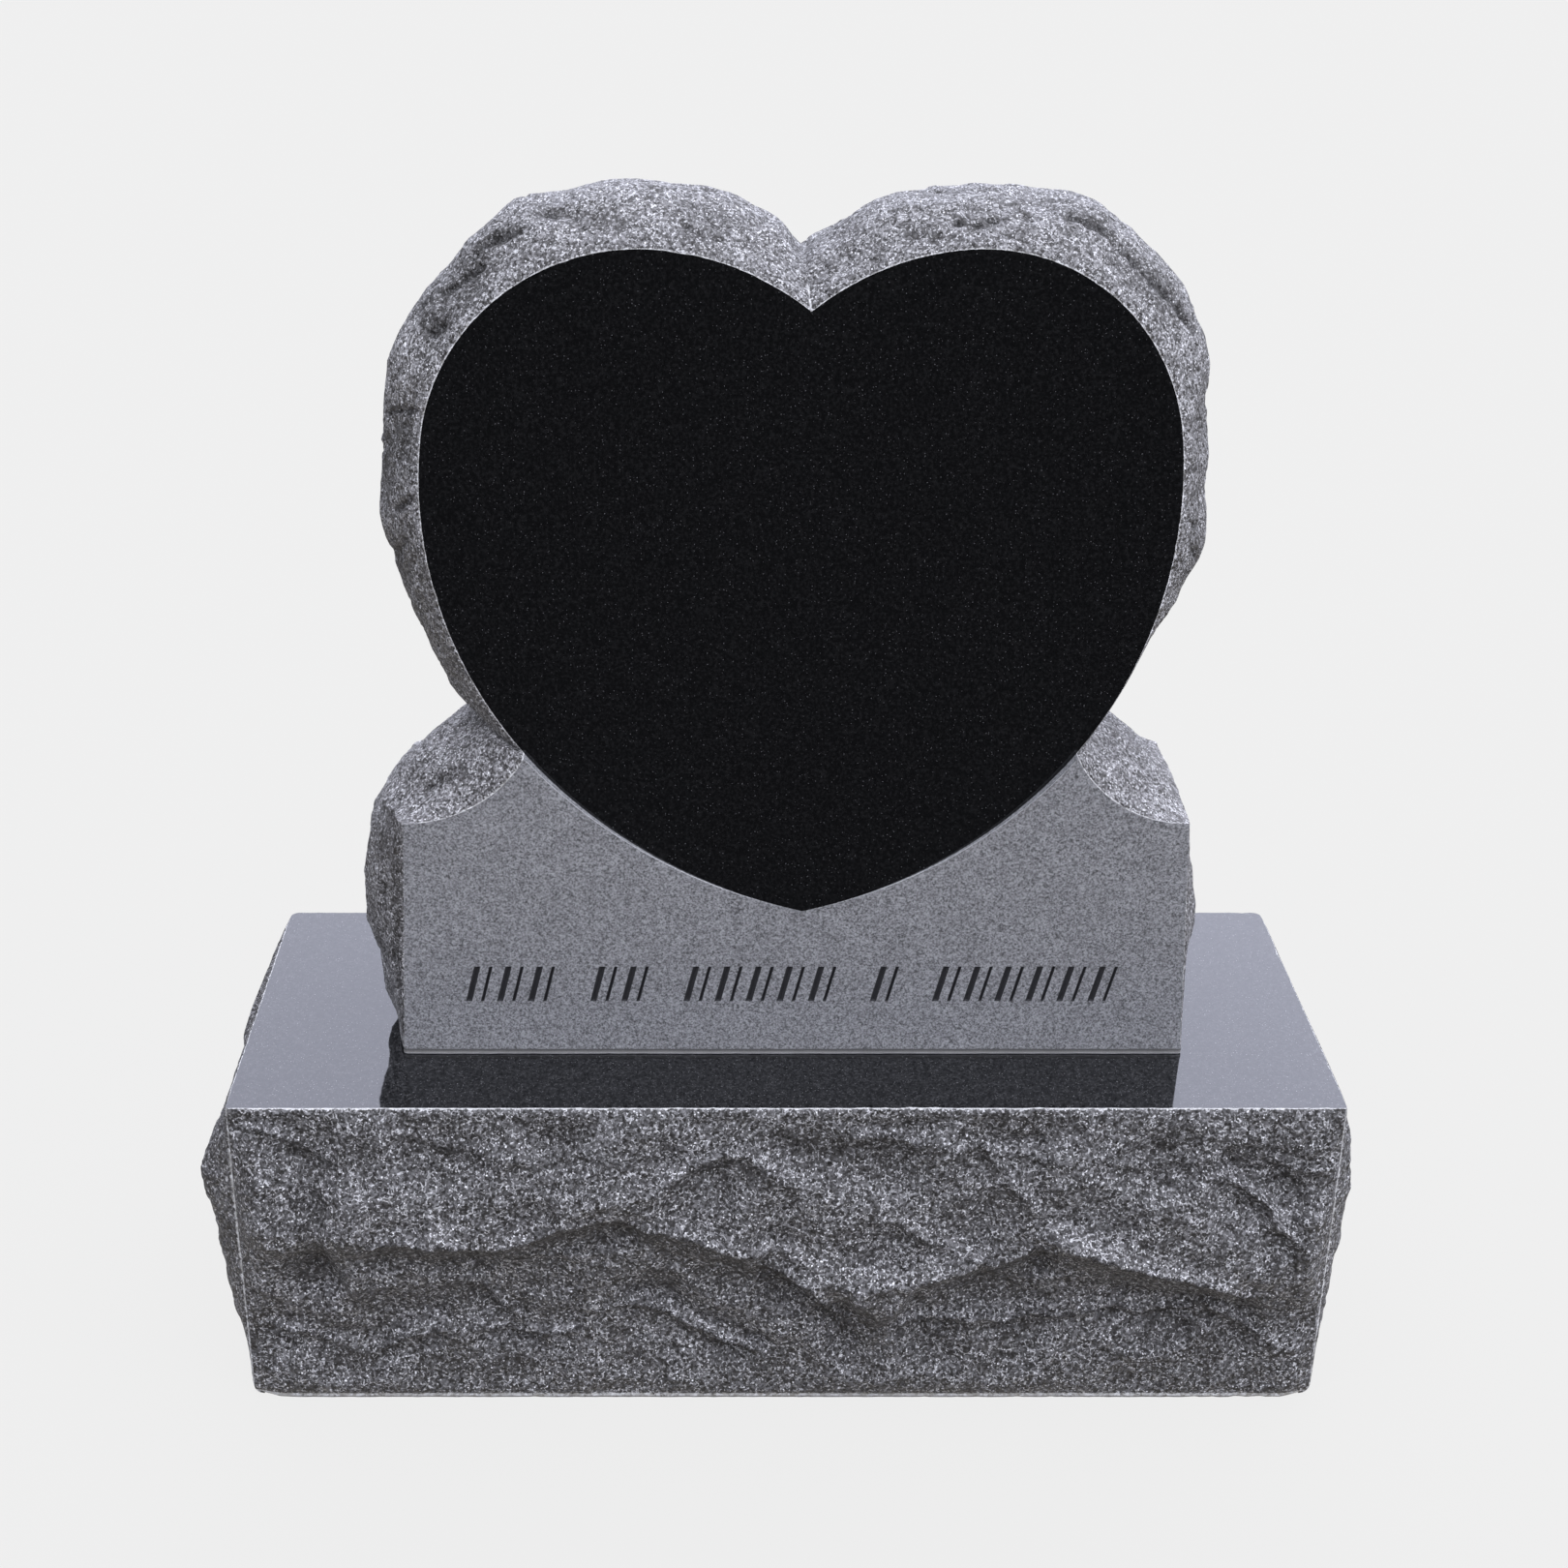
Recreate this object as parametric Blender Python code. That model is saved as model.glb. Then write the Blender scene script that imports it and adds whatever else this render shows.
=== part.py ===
# Heart headstone in dark granite, in metres, +Z up, its front towards -Y.
# A rock-pitched base carries a thin bed of setting compound and one carved tablet:
# an upright lower panel with a polished heart that leans back and rises out of it.
# The origin lies under the middle of the base, on the plane that it stands on.

import math

import bmesh
import bpy
import numpy as np

for old in list(bpy.data.objects):
    bpy.data.objects.remove(old)

# Tablet: the front faces, the pitched rim and where it all sits along the base
tablet_shift = 0.008
tablet_thickness = 0.178
panel_bottom_width = 0.692
panel_top_width = 0.670
shoulder_height = 0.223
neck_rise = 0.061

# Heart: its point above the tablet's underside, its lean, and the arcs of its half outline
# from the point to the cleft as (radius, sweep in degrees); the last arc ends on the middle line,
# and the skew moves the middle of the polished face to the right, its widest places not at all
tip_height = 0.139
heart_lean = 4.2
heart_start = 12.7
heart_arcs = ((0.418, 33.5), (0.360, 51.3), (0.173, 86.7), (0.222, 75.0))
heart_skew = 0.0065

# Rim: how far the pitched stone stands out beyond the front arris at mid thickness, as
# (share of the way up, distance), the share of it that is left at the back, and how full
# the rock swells between the two
left_side_reach = (
    (0.0, 0.013), (0.15, 0.033), (0.4, 0.046), (0.7, 0.0475), (0.88, 0.0435), (1.0, 0.036),
)
right_side_reach = (
    (0.0, 0.009), (0.3, 0.016), (0.5, 0.025), (0.62, 0.021), (0.85, 0.015), (1.0, 0.008),
)
left_heart_reach = (
    (0.0, 0.045), (0.04, 0.039), (0.12, 0.035), (0.17, 0.0385), (0.25, 0.043), (0.31, 0.046),
    (0.36, 0.043), (0.42, 0.040), (0.5, 0.046), (0.54, 0.0445), (0.58, 0.0385), (0.62, 0.0465),
    (0.67, 0.050), (0.73, 0.042), (0.8, 0.043), (0.88, 0.0445), (0.92, 0.041), (1.0, 0.031),
)
right_heart_reach = (
    (0.0, 0.031), (0.05, 0.016), (0.13, 0.016), (0.21, 0.033), (0.26, 0.044), (0.34, 0.035),
    (0.41, 0.035), (0.5, 0.045), (0.55, 0.048), (0.6, 0.047), (0.67, 0.050), (0.73, 0.041),
    (0.8, 0.038), (0.88, 0.040), (0.95, 0.032), (1.0, 0.031),
)
back_share = 0.3
bulge_fullness = 0.75

# Shoulders and cleft of the rim: how full the shoulders are, how far and over which share of
# the side they sink at the top, how the rock turns out of the neck, how it meets in the
# cleft, and the width of the crease between shoulder and heart
left_shoulder_bulge = (0.013, 0.015)
right_shoulder_bulge = (0.011, 0.018)
shoulder_sink = 0.008
shoulder_sink_share = 0.25
neck_lift = 15.0
neck_share = 0.12
cleft_share = 0.07
cleft_mitre = 1.25
crease_width = 0.004

# Row of slanted strokes on the panel, in words of so many places, a wide and a narrow
# stroke to a place, and where the two start as shares of the place
stroke_words = (3, 2, 5, 1, 6)
stroke_margin = 0.058
stroke_row_bottom = 0.049
stroke_height = 0.035
stroke_wide = 0.0055
stroke_narrow = 0.0030
stroke_wide_start = 0.12
stroke_narrow_start = 0.60
stroke_depth = 0.0020
stroke_slant = 14.0

# Setting bed between the two stones
bed_thickness = 0.0045
bed_lip = 0.0015
bed_edge = 0.001
joint_gap = 0.0003

# Base stone: what it leaves free around the tablet's foot, how far its sides stand out
# beyond their arrises, and how much its corners are eased
base_height = 0.308
base_end_margin = 0.1365
base_front_margin = 0.089
base_front_reach = 0.042
base_back_reach = 0.030
base_left_reach = 0.036
base_right_reach = 0.026
base_back_ease = 0.009
base_front_ease = 0.002

# The crest of a pitched side as shares of its half length and height: above it the broken
# face looks up, below it the front drops back by the undercut
front_crest = (
    (-1.0, 0.66), (-0.84, 0.62), (-0.62, 0.60), (-0.48, 0.63), (-0.33, 0.73), (-0.11, 0.60),
    (0.08, 0.44), (0.19, 0.34), (0.25, 0.50), (0.50, 0.59), (0.67, 0.52), (0.81, 0.48), (1.0, 0.56),
)
plain_crest = ((-1.0, 0.72), (-0.4, 0.76), (0.2, 0.66), (1.0, 0.74))
crest_above = 0.8
crest_below = 0.65
undercut = 0.012
undercut_run = 0.042
undercut_foot = 0.3

# Upright groove in the front, its place and ends as shares of the length and height
groove_place = 0.09
groove_low = 0.3
groove_high = 0.97
groove_fade = 0.15
groove_width = 0.020
groove_depth = 0.010

# Bowls struck out by the pitching tool: spacing, depth and shape, each bowl's own shift,
# turn, tilt and level, and the plain run beside an arris
mark_spacing = 0.075
mark_depth = 0.010
mark_squash = 0.7
mark_curve = 2.2
mark_shift = 0.4
mark_turn = 0.7
mark_tilt = 0.06
mark_level = 0.35
arris_run = 0.022
corner_run = 0.033

# Share of the bowls' depth that is cut, and the even cut beside it, on the base's front,
# on its other sides and on the tablet's rim
front_marks = (1.0, 0.0)
side_marks = (0.6, 0.0012)
rim_marks = (0.5, 0.0015)

# Mesh density
base_column_step = 0.023
base_rows = 14
rim_rows = 14
rim_row_spread = 1.1
side_columns = 8
scoop_columns = 9
heart_columns = 48
lower_edge_columns = 12
arc_points = 240

panel_y = -tablet_thickness / 2.0
back_y = tablet_thickness / 2.0
base_width = panel_bottom_width + 2.0 * base_end_margin
base_depth = tablet_thickness + 2.0 * base_front_margin
bed_bottom = base_height + joint_gap
tablet_bottom = bed_bottom + bed_thickness + joint_gap
stroke_row_width = panel_bottom_width - 2.0 * stroke_margin


def ease(x):
    """A step from 0 to 1 that starts and ends level."""
    x = np.clip(x, 0.0, 1.0)
    return x * x * (3.0 - 2.0 * x)


def along(pairs, share):
    """Value at a share of the way through (share, value) pairs, eased between them."""
    places = np.array([pair[0] for pair in pairs])
    values = np.array([pair[1] for pair in pairs])
    share = np.clip(share, places[0], places[-1])
    index = np.clip(np.searchsorted(places, share, side="right") - 1, 0, len(places) - 2)
    part = (share - places[index]) / (places[index + 1] - places[index])
    return values[index] + (values[index + 1] - values[index]) * ease(part)


def strike_marks(seed, length, height):
    """Centres, tilts and levels of the shallow bowls struck along a pitched face."""
    dice = np.random.RandomState(seed)
    across = int(math.ceil(length / mark_spacing)) + 2
    up = int(math.ceil(height / mark_spacing)) + 2
    p, q = np.meshgrid(np.arange(across) - 0.5, np.arange(up) - 0.5)
    p = (p.ravel() + dice.uniform(-mark_shift, mark_shift, p.size)) * mark_spacing
    q = (q.ravel() + dice.uniform(-mark_shift, mark_shift, q.size)) * mark_spacing
    turn = dice.uniform(-mark_turn, mark_turn, p.size)
    tilt = dice.uniform(-mark_tilt, mark_tilt, (2, p.size))
    level = dice.uniform(0.0, mark_level, p.size) * mark_depth
    return p, q, turn, tilt, level


def cut_by_marks(marks, p, q, share_and_even):
    """Depth cut at (p, q): a share of the lowest of the bowls, whose rims meet in ridges, and
    an even cut."""
    share, even = share_and_even
    centre_p, centre_q, turn, tilt, level = marks
    dp = p[..., None] - centre_p
    dq = q[..., None] - centre_q
    long = (dp * np.cos(turn) + dq * np.sin(turn)) / mark_spacing
    short = (dq * np.cos(turn) - dp * np.sin(turn)) / (mark_squash * mark_spacing)
    bowl = level + tilt[0] * dp + tilt[1] * dq + mark_depth * mark_curve * (long ** 2 + short ** 2)
    return share * (mark_depth - np.clip(bowl.min(axis=-1), 0.0, mark_depth)) + even


def solid_from(name, points, faces, material):
    """One closed body with outward faces, from points and faces."""
    mesh = bpy.data.meshes.new(name)
    body = bmesh.new()
    corners = [body.verts.new(point) for point in points]
    for face in faces:
        body.faces.new([corners[index] for index in face])
    bmesh.ops.recalc_face_normals(body, faces=body.faces)
    body.to_mesh(mesh)
    body.free()
    mesh.materials.append(material)
    solid = bpy.data.objects.new(name, mesh)
    bpy.context.scene.collection.objects.link(solid)
    return solid


def stone(name, colour, roughness):
    """A plain surface with the stone's colour and polish."""
    material = bpy.data.materials.new(name)
    material.use_nodes = True
    shader = material.node_tree.nodes["Principled BSDF"]
    shader.inputs["Base Color"].default_value = (*colour, 1.0)
    shader.inputs["Roughness"].default_value = roughness
    shader.inputs["Metallic"].default_value = 0.0
    return material


# Base

def pitched_out(height_share, crest, reach, drop_back):
    """Distance out of a pitched face: out from the top arris to the crest, then back in."""
    above = reach * ((1.0 - height_share) / (1.0 - crest)) ** crest_above
    below = reach * (height_share / crest) ** crest_below
    drop = ease((crest - height_share) * base_height / undercut_run) * ease(height_share / undercut_foot)
    return np.where(height_share > crest, above, below - drop_back * drop)


def base_side(side):
    """Grid of (run along the side, distance out, height) for one pitched side of the base."""
    length = side["length"]
    first_ease, last_ease = side["eases"]
    steps = max(3, int(round(length / base_column_step)))
    between = np.linspace(first_ease, length - last_ease, steps + 1)
    places = np.concatenate([[0.0], between, [length]])
    run, rise = np.meshgrid(places, np.linspace(0.0, 1.0, base_rows + 1), indexing="ij")
    crest = along(side["crest"], 2.0 * run / length - 1.0)
    corner = np.sqrt(ease(np.minimum(run, length - run) / corner_run))
    flat = ease(rise * base_height / arris_run) * ease((1.0 - rise) * base_height / arris_run)
    out = pitched_out(rise, crest, side["reach"], side["undercut"])
    marks = strike_marks(side["seed"], length, base_height)
    out = out - cut_by_marks(marks, run, rise * base_height, side["marks"]) * flat
    if side["groove"]:
        near = np.exp(-(((run - length * groove_place) / groove_width) ** 2))
        ends = ease((rise - groove_low) / groove_fade) * ease((groove_high - rise) / groove_fade)
        out = out - groove_depth * near * ends
    out = np.maximum(out, 0.0) * corner
    inward = (first_ease * (places == 0.0) + last_ease * (places == length)) / 2.0
    return run, out - inward[:, None], rise * base_height


def build_base(material):
    """The base stone: flat top and underside, four pitched sides, straight arrises."""
    half_width = base_width / 2.0
    half_depth = base_depth / 2.0
    front_ease, back_ease = base_front_ease, base_back_ease
    sides = (
        {"length": base_width, "reach": base_front_reach, "undercut": undercut, "crest": front_crest,
         "seed": 11, "eases": (front_ease, front_ease), "groove": True, "marks": front_marks},
        {"length": base_depth, "reach": base_right_reach, "undercut": 0.0, "crest": plain_crest,
         "seed": 12, "eases": (front_ease, back_ease), "groove": False, "marks": side_marks},
        {"length": base_width, "reach": base_back_reach, "undercut": 0.0, "crest": plain_crest,
         "seed": 13, "eases": (back_ease, back_ease), "groove": False, "marks": side_marks},
        {"length": base_depth, "reach": base_left_reach, "undercut": 0.0, "crest": plain_crest,
         "seed": 14, "eases": (back_ease, front_ease), "groove": False, "marks": side_marks},
    )
    starts = ((-half_width, -half_depth), (half_width, -half_depth),
              (half_width, half_depth), (-half_width, half_depth))
    ways = ((1.0, 0.0), (0.0, 1.0), (-1.0, 0.0), (0.0, -1.0))
    rings = []
    for side, start, way in zip(sides, starts, ways):
        run, out, height = base_side(side)
        x = start[0] + way[0] * run + way[1] * out
        y = start[1] + way[1] * run - way[0] * out
        rings.append(np.stack([x, y, height], axis=-1))
    # At a corner the two sides give one shared column, eased in on both of them
    for index in range(4):
        ring, following = rings[index], rings[(index + 1) % 4]
        if index % 2 == 0:
            corner = np.stack([following[0, :, 0], ring[-1, :, 1], ring[-1, :, 2]], axis=-1)
        else:
            corner = np.stack([ring[-1, :, 0], following[0, :, 1], ring[-1, :, 2]], axis=-1)
        following[0] = corner
    grid = np.concatenate([ring[:-1] for ring in rings])
    columns = len(grid)
    rows = base_rows + 1
    points = [tuple(point) for point in grid.reshape(-1, 3)]
    faces = []
    for column in range(columns):
        nearby = (column + 1) % columns
        for row in range(rows - 1):
            faces.append((column * rows + row, nearby * rows + row,
                          nearby * rows + row + 1, column * rows + row + 1))
    faces.append(tuple(column * rows for column in range(columns)))
    faces.append(tuple(column * rows + rows - 1 for column in range(columns)))
    return solid_from("base", points, faces, material)


# Tablet

def heart_edge(count):
    """Half outline of the heart in its own plane, from the point to the cleft."""
    heading = math.radians(heart_start)
    place = np.zeros(2)
    pieces = [place[None]]
    for radius, sweep in heart_arcs:
        centre = place + radius * np.array([-math.sin(heading), math.cos(heading)])
        turn = heading + np.linspace(0.0, math.radians(sweep), count)[1:]
        pieces.append(centre + radius * np.stack([np.sin(turn), -np.cos(turn)], axis=-1))
        place = pieces[-1][-1]
        heading = turn[-1]
    edge = np.concatenate(pieces)
    last = np.argmax((edge[:, 0] < 0.0) & (np.arange(len(edge)) > count))
    before, after = edge[last - 1], edge[last]
    cleft = before + (after - before) * before[0] / (before[0] - after[0])
    return np.concatenate([edge[:last], cleft[None]])


def at_lengths(line, shares):
    """Points at the given shares of a line's own length."""
    steps = np.linalg.norm(np.diff(line, axis=0), axis=1)
    length = np.concatenate([[0.0], np.cumsum(steps)])
    wanted = np.asarray(shares) * length[-1]
    return np.stack([np.interp(wanted, length, line[:, axis]) for axis in range(2)], axis=-1)


def heart_front_y(height):
    """Depth of the leaning heart face at a height above the tablet's underside."""
    return panel_y + (height - tip_height) * math.tan(math.radians(heart_lean))


def heart_outline():
    """The heart's half outline seen from the front, and the place where the shoulder meets it."""
    edge = heart_edge(arc_points)
    flat = np.stack([edge[:, 0], tip_height + edge[:, 1] * math.cos(math.radians(heart_lean))], axis=-1)
    widest = np.argmax(flat[:, 0])
    neck_height = shoulder_height + neck_rise
    neck = np.array([np.interp(neck_height, flat[:widest, 1], flat[:widest, 0]), neck_height])
    below = flat[:widest][flat[:widest, 1] < neck_height]
    above = flat[len(below):]
    return np.concatenate([below, neck[None]]), np.concatenate([neck[None], above])


def skewed(across):
    """Places across the polished face, the middle moved to the right and the edges kept."""
    half = heart_edge(arc_points)[:, 0].max()
    return across + heart_skew * np.clip(1.0 - (across / half) ** 2, 0.0, 1.0)


def scoop(corner, neck):
    """The arc that leaves the panel's top corner level and climbs to the heart."""
    rise = neck[1] - corner[1]
    reach = corner[0] - neck[0]
    radius = (reach ** 2 + rise ** 2) / (2.0 * rise)
    turn = np.linspace(0.0, math.atan2(reach, radius - rise), scoop_columns + 1)
    return np.stack([corner[0] - radius * np.sin(turn), corner[1] + radius * (1.0 - np.cos(turn))], axis=-1)


def outward(line):
    """Outward directions along a half outline that runs upwards, by its own tangents."""
    tangent = np.gradient(line, axis=0)
    normal = np.stack([tangent[:, 1], -tangent[:, 0]], axis=-1)
    return normal / np.linalg.norm(normal, axis=1)[:, None]


def heart_turn(front, share):
    """Directions in which the rim leaves the heart's edge: out of the neck, square to the
    edge along the lobe, straight up in the cleft."""
    lift = math.radians(neck_lift)
    toward = outward(front)
    out_of_neck = np.array([math.cos(lift), math.sin(lift)])
    toward = toward + (out_of_neck - toward) * (1.0 - ease(share / neck_share))
    straight_up = np.array([0.0, cleft_mitre])
    return toward + (straight_up - toward) * ease((share - 1.0 + cleft_share) / cleft_share)


def half_rim(side_reach, heart_reach, shoulder_bulge):
    """Columns of a half rim: front outline, outline at mid thickness, depth of the front."""
    foot = np.array([panel_bottom_width / 2.0, 0.0])
    corner = np.array([panel_top_width / 2.0, shoulder_height])
    lower, upper = heart_outline()
    up = np.linspace(0.0, 1.0, side_columns + 1)
    side_front = foot + (corner - foot) * up[:, None]
    sunk = -shoulder_sink * ease(1.0 - (1.0 - up) / shoulder_sink_share)
    side_middle = side_front + np.stack([along(side_reach, up), sunk], axis=-1)
    scoop_front = scoop(corner, lower[-1])
    way = np.linspace(0.0, 1.0, heart_columns + 1)
    heart_front = at_lengths(upper, way)
    heart_middle = heart_front + heart_turn(heart_front, way[:, None]) * along(heart_reach, way)[:, None]
    notch = heart_middle[0] - np.array([0.0, crease_width])
    bend = (side_middle[-1] + notch) / 2.0 + np.array(shoulder_bulge)
    part = np.linspace(0.0, 1.0, scoop_columns + 1)[:, None]
    scoop_middle = (1 - part) ** 2 * side_middle[-1] + 2 * part * (1 - part) * bend + part ** 2 * notch
    front = np.concatenate([side_front, scoop_front[1:], heart_front])
    middle = np.concatenate([side_middle, scoop_middle[1:], heart_middle])
    depth = np.full(len(front), panel_y)
    depth[-len(heart_front):] = heart_front_y(heart_front[:, 1])
    return front, middle, depth


def bulge(share):
    """Share of the full reach at a share of the thickness: steep at the front arris."""
    swell = np.sin(np.pi * share) ** bulge_fullness
    return np.where(share < 0.5, swell, back_share + (1.0 - back_share) * swell)


def tablet_rim():
    """Grid of points over the pitched rim, from the right foot over the heart to the left foot."""
    right = half_rim(right_side_reach, right_heart_reach, right_shoulder_bulge)
    left = half_rim(left_side_reach, left_heart_reach, left_shoulder_bulge)
    mirror = np.array([-1.0, 1.0])
    front = np.concatenate([right[0], (left[0] * mirror)[-2::-1]])
    middle = np.concatenate([right[1], (left[1] * mirror)[-2::-1]])
    depth = np.concatenate([right[2], left[2][-2::-1]])
    front[:, 0] = skewed(front[:, 0])
    thickness_share = np.linspace(0.0, 1.0, rim_rows + 1) ** rim_row_spread
    steps = np.linalg.norm(np.diff(middle, axis=0), axis=1)
    run = np.concatenate([[0.0], np.cumsum(steps)])
    p, q = np.meshgrid(run, thickness_share * tablet_thickness, indexing="ij")
    cut = cut_by_marks(strike_marks(21, run[-1], tablet_thickness), p, q, rim_marks)
    near_arris = ease(q / arris_run) * ease((tablet_thickness - q) / arris_run)
    foot = ease(np.minimum(p, run[-1] - p) / arris_run)
    reach = middle - front
    full = np.linalg.norm(reach, axis=1)
    direction = reach / full[:, None]
    out = full[:, None] * bulge(thickness_share)[None] - cut * near_arris * foot
    out = np.maximum(out, 0.0)
    flat = front[:, None] + direction[:, None] * out[..., None]
    flat[0, :, 1] = 0.0
    flat[-1, :, 1] = 0.0
    y = depth[:, None] + (back_y - depth[:, None]) * thickness_share[None]
    return np.stack([flat[..., 0] + tablet_shift, y, flat[..., 1] + tablet_bottom], axis=-1)


def build_tablet(material):
    """The tablet as one closed stone: rim, heart face, panel, the step between them, back."""
    rim = tablet_rim()
    columns, rows = rim.shape[:2]
    points = [tuple(point) for point in rim.reshape(-1, 3)]
    faces = []
    for column in range(columns - 1):
        for row in range(rows - 1):
            here = column * rows + row
            faces.append((here, here + rows, here + rows + 1, here + 1))
    # The heart's lower edge twice, on the panel and on the leaning face; they meet at the point
    lower = at_lengths(heart_outline()[0], np.linspace(0.0, 1.0, lower_edge_columns + 1))
    tip = len(points)
    points.append((tablet_shift + skewed(0.0), panel_y, tablet_bottom + tip_height))
    on_panel = {}
    on_heart = {}
    for side in (1.0, -1.0):
        on_panel[side] = []
        on_heart[side] = []
        for across, height in lower[1:-1]:
            x = tablet_shift + skewed(side * across)
            on_panel[side].append(len(points))
            points.append((x, panel_y, tablet_bottom + height))
            on_heart[side].append(len(points))
            points.append((x, heart_front_y(height), tablet_bottom + height))
    front_row = [column * rows for column in range(columns)]
    panel_columns = side_columns + scoop_columns + 1
    right_panel = front_row[:panel_columns]
    left_panel = front_row[-panel_columns:]
    heart_line = front_row[panel_columns:-panel_columns]
    faces.append(tuple(right_panel + on_panel[1.0][::-1] + [tip] + on_panel[-1.0] + left_panel))
    faces.append(tuple(heart_line + on_heart[-1.0][::-1] + [tip] + on_heart[1.0]))
    for side, panel_end, heart_end in ((1.0, right_panel[-1], heart_line[0]),
                                       (-1.0, left_panel[0], heart_line[-1])):
        panel_edge = on_panel[side] + [panel_end]
        heart_edge_line = on_heart[side] + [heart_end]
        faces.append((tip, panel_edge[0], heart_edge_line[0]))
        for index in range(len(panel_edge) - 1):
            faces.append((panel_edge[index], panel_edge[index + 1],
                          heart_edge_line[index + 1], heart_edge_line[index]))
    faces.append(tuple(column * rows + rows - 1 for column in range(columns)))
    right_foot = list(range(rows))
    left_foot = [(columns - 1) * rows + row for row in range(rows)]
    faces.append(tuple(right_foot + left_foot[::-1]))
    return solid_from("tablet", points, faces, material)


def stroke_cutter(material):
    """Wedges that cut the strokes: each place in a word has one wide and one narrow stroke."""
    places = sum(stroke_words) + len(stroke_words) - 1
    pitch = stroke_row_width / places
    lean = stroke_height * math.tan(math.radians(stroke_slant))
    proud = 0.5 * stroke_depth
    points = []
    faces = []
    place = 0
    for word in stroke_words:
        for _ in range(word):
            left = -stroke_row_width / 2.0 + place * pitch
            for start, width in ((stroke_wide_start, stroke_wide), (stroke_narrow_start, stroke_narrow)):
                foot = tablet_shift + left + start * pitch - lean / 2.0
                half = width / 2.0 * (1.0 + proud / stroke_depth)
                first = len(points)
                for height, offset in ((0.0, 0.0), (stroke_height, lean)):
                    z = tablet_bottom + stroke_row_bottom + height
                    middle = foot + half + offset
                    points.append((middle - half, panel_y - proud, z))
                    points.append((middle + half, panel_y - proud, z))
                    points.append((middle, panel_y + stroke_depth, z))
                faces.append((first, first + 1, first + 2))
                faces.append((first + 3, first + 5, first + 4))
                for corner in range(3):
                    following = (corner + 1) % 3
                    faces.append((first + corner, first + 3 + corner,
                                  first + 3 + following, first + following))
            place += 1
        place += 1
    cutter = solid_from("stroke_cutter", points, faces, material)
    cutter.hide_render = True
    cutter.display_type = "WIRE"
    return cutter


def cut_strokes(tablet, cutter):
    """Takes the row of strokes out of the panel."""
    boolean = tablet.modifiers.new("strokes", "BOOLEAN")
    boolean.operation = "DIFFERENCE"
    boolean.solver = "EXACT"
    boolean.object = cutter


# Setting bed

def build_bed(material):
    """The thin bed of setting compound, a little proud of the panel, its edges eased."""
    half_width = panel_bottom_width / 2.0 + bed_lip
    half_depth = tablet_thickness / 2.0 + bed_lip
    points = [(tablet_shift + across * half_width, along_y * half_depth, height)
              for height in (bed_bottom, bed_bottom + bed_thickness)
              for across, along_y in ((-1, -1), (1, -1), (1, 1), (-1, 1))]
    faces = [(0, 1, 2, 3), (4, 5, 6, 7), (0, 1, 5, 4), (1, 2, 6, 5), (2, 3, 7, 6), (3, 0, 4, 7)]
    bed = solid_from("setting_bed", points, faces, material)
    bevel = bed.modifiers.new("eased edges", "BEVEL")
    bevel.width = bed_edge
    bevel.segments = 2
    return bed


base_stone = stone("base_granite", (0.075, 0.074, 0.078), 0.55)
tablet_stone = stone("tablet_granite", (0.105, 0.106, 0.112), 0.50)
bed_compound = stone("bed_compound", (0.20, 0.19, 0.175), 0.80)
build_base(base_stone)
tablet_solid = build_tablet(tablet_stone)
cut_strokes(tablet_solid, stroke_cutter(tablet_stone))
build_bed(bed_compound)
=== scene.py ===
import math

import bpy
import numpy as np
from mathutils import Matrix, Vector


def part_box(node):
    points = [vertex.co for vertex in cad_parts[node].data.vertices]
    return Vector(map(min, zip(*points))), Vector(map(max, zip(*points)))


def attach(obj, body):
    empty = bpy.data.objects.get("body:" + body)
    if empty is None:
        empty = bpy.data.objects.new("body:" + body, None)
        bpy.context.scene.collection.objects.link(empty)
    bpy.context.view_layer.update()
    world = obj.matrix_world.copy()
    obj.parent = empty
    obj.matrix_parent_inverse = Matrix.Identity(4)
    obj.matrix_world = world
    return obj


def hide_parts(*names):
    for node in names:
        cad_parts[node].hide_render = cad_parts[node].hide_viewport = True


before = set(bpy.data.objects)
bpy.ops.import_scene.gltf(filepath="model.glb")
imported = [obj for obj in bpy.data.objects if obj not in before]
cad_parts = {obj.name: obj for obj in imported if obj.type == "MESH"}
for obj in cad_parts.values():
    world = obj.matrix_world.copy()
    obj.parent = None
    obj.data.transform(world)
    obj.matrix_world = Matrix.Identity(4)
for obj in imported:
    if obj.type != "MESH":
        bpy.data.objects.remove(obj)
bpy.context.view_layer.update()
tabletLow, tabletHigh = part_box("tablet")
baseLow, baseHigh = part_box("base")
bedLow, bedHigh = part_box("setting_bed")
print("frame loaded:", ", ".join(sorted(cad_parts)))


# ---- Shared shaping ----

def ease(x):
    # From 0 to 1, level at both ends: 3x squared minus 2x cubed, x held between 0 and 1
    x = np.clip(x, 0.0, 1.0)
    return x * x * (3.0 - 2.0 * x)


def between(x, low, high, run):
    # 1 between low and high, eased to 0 at both of them over the run
    return ease((x - low) / run) * ease((high - x) / run)


def bell(x):
    # Bell curve: e to the power minus x squared
    return np.exp(-(x ** 2))


def along(pairs, share, units):
    # Value at a share of the way: the pairs are a percentage of the way and a value in so many units to
    # one, in a row, eased from each pair to the next
    places, values = np.reshape(pairs, (-1, 2)).T / np.array([[100.0], [units]])
    share = np.clip(share, places[0], places[-1])
    index = np.clip(np.searchsorted(places, share, side="right") - 1, 0, len(places) - 2)
    part = (share - places[index]) / (places[index + 1] - places[index])
    return values[index] + (values[index + 1] - values[index]) * ease(part)


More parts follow.
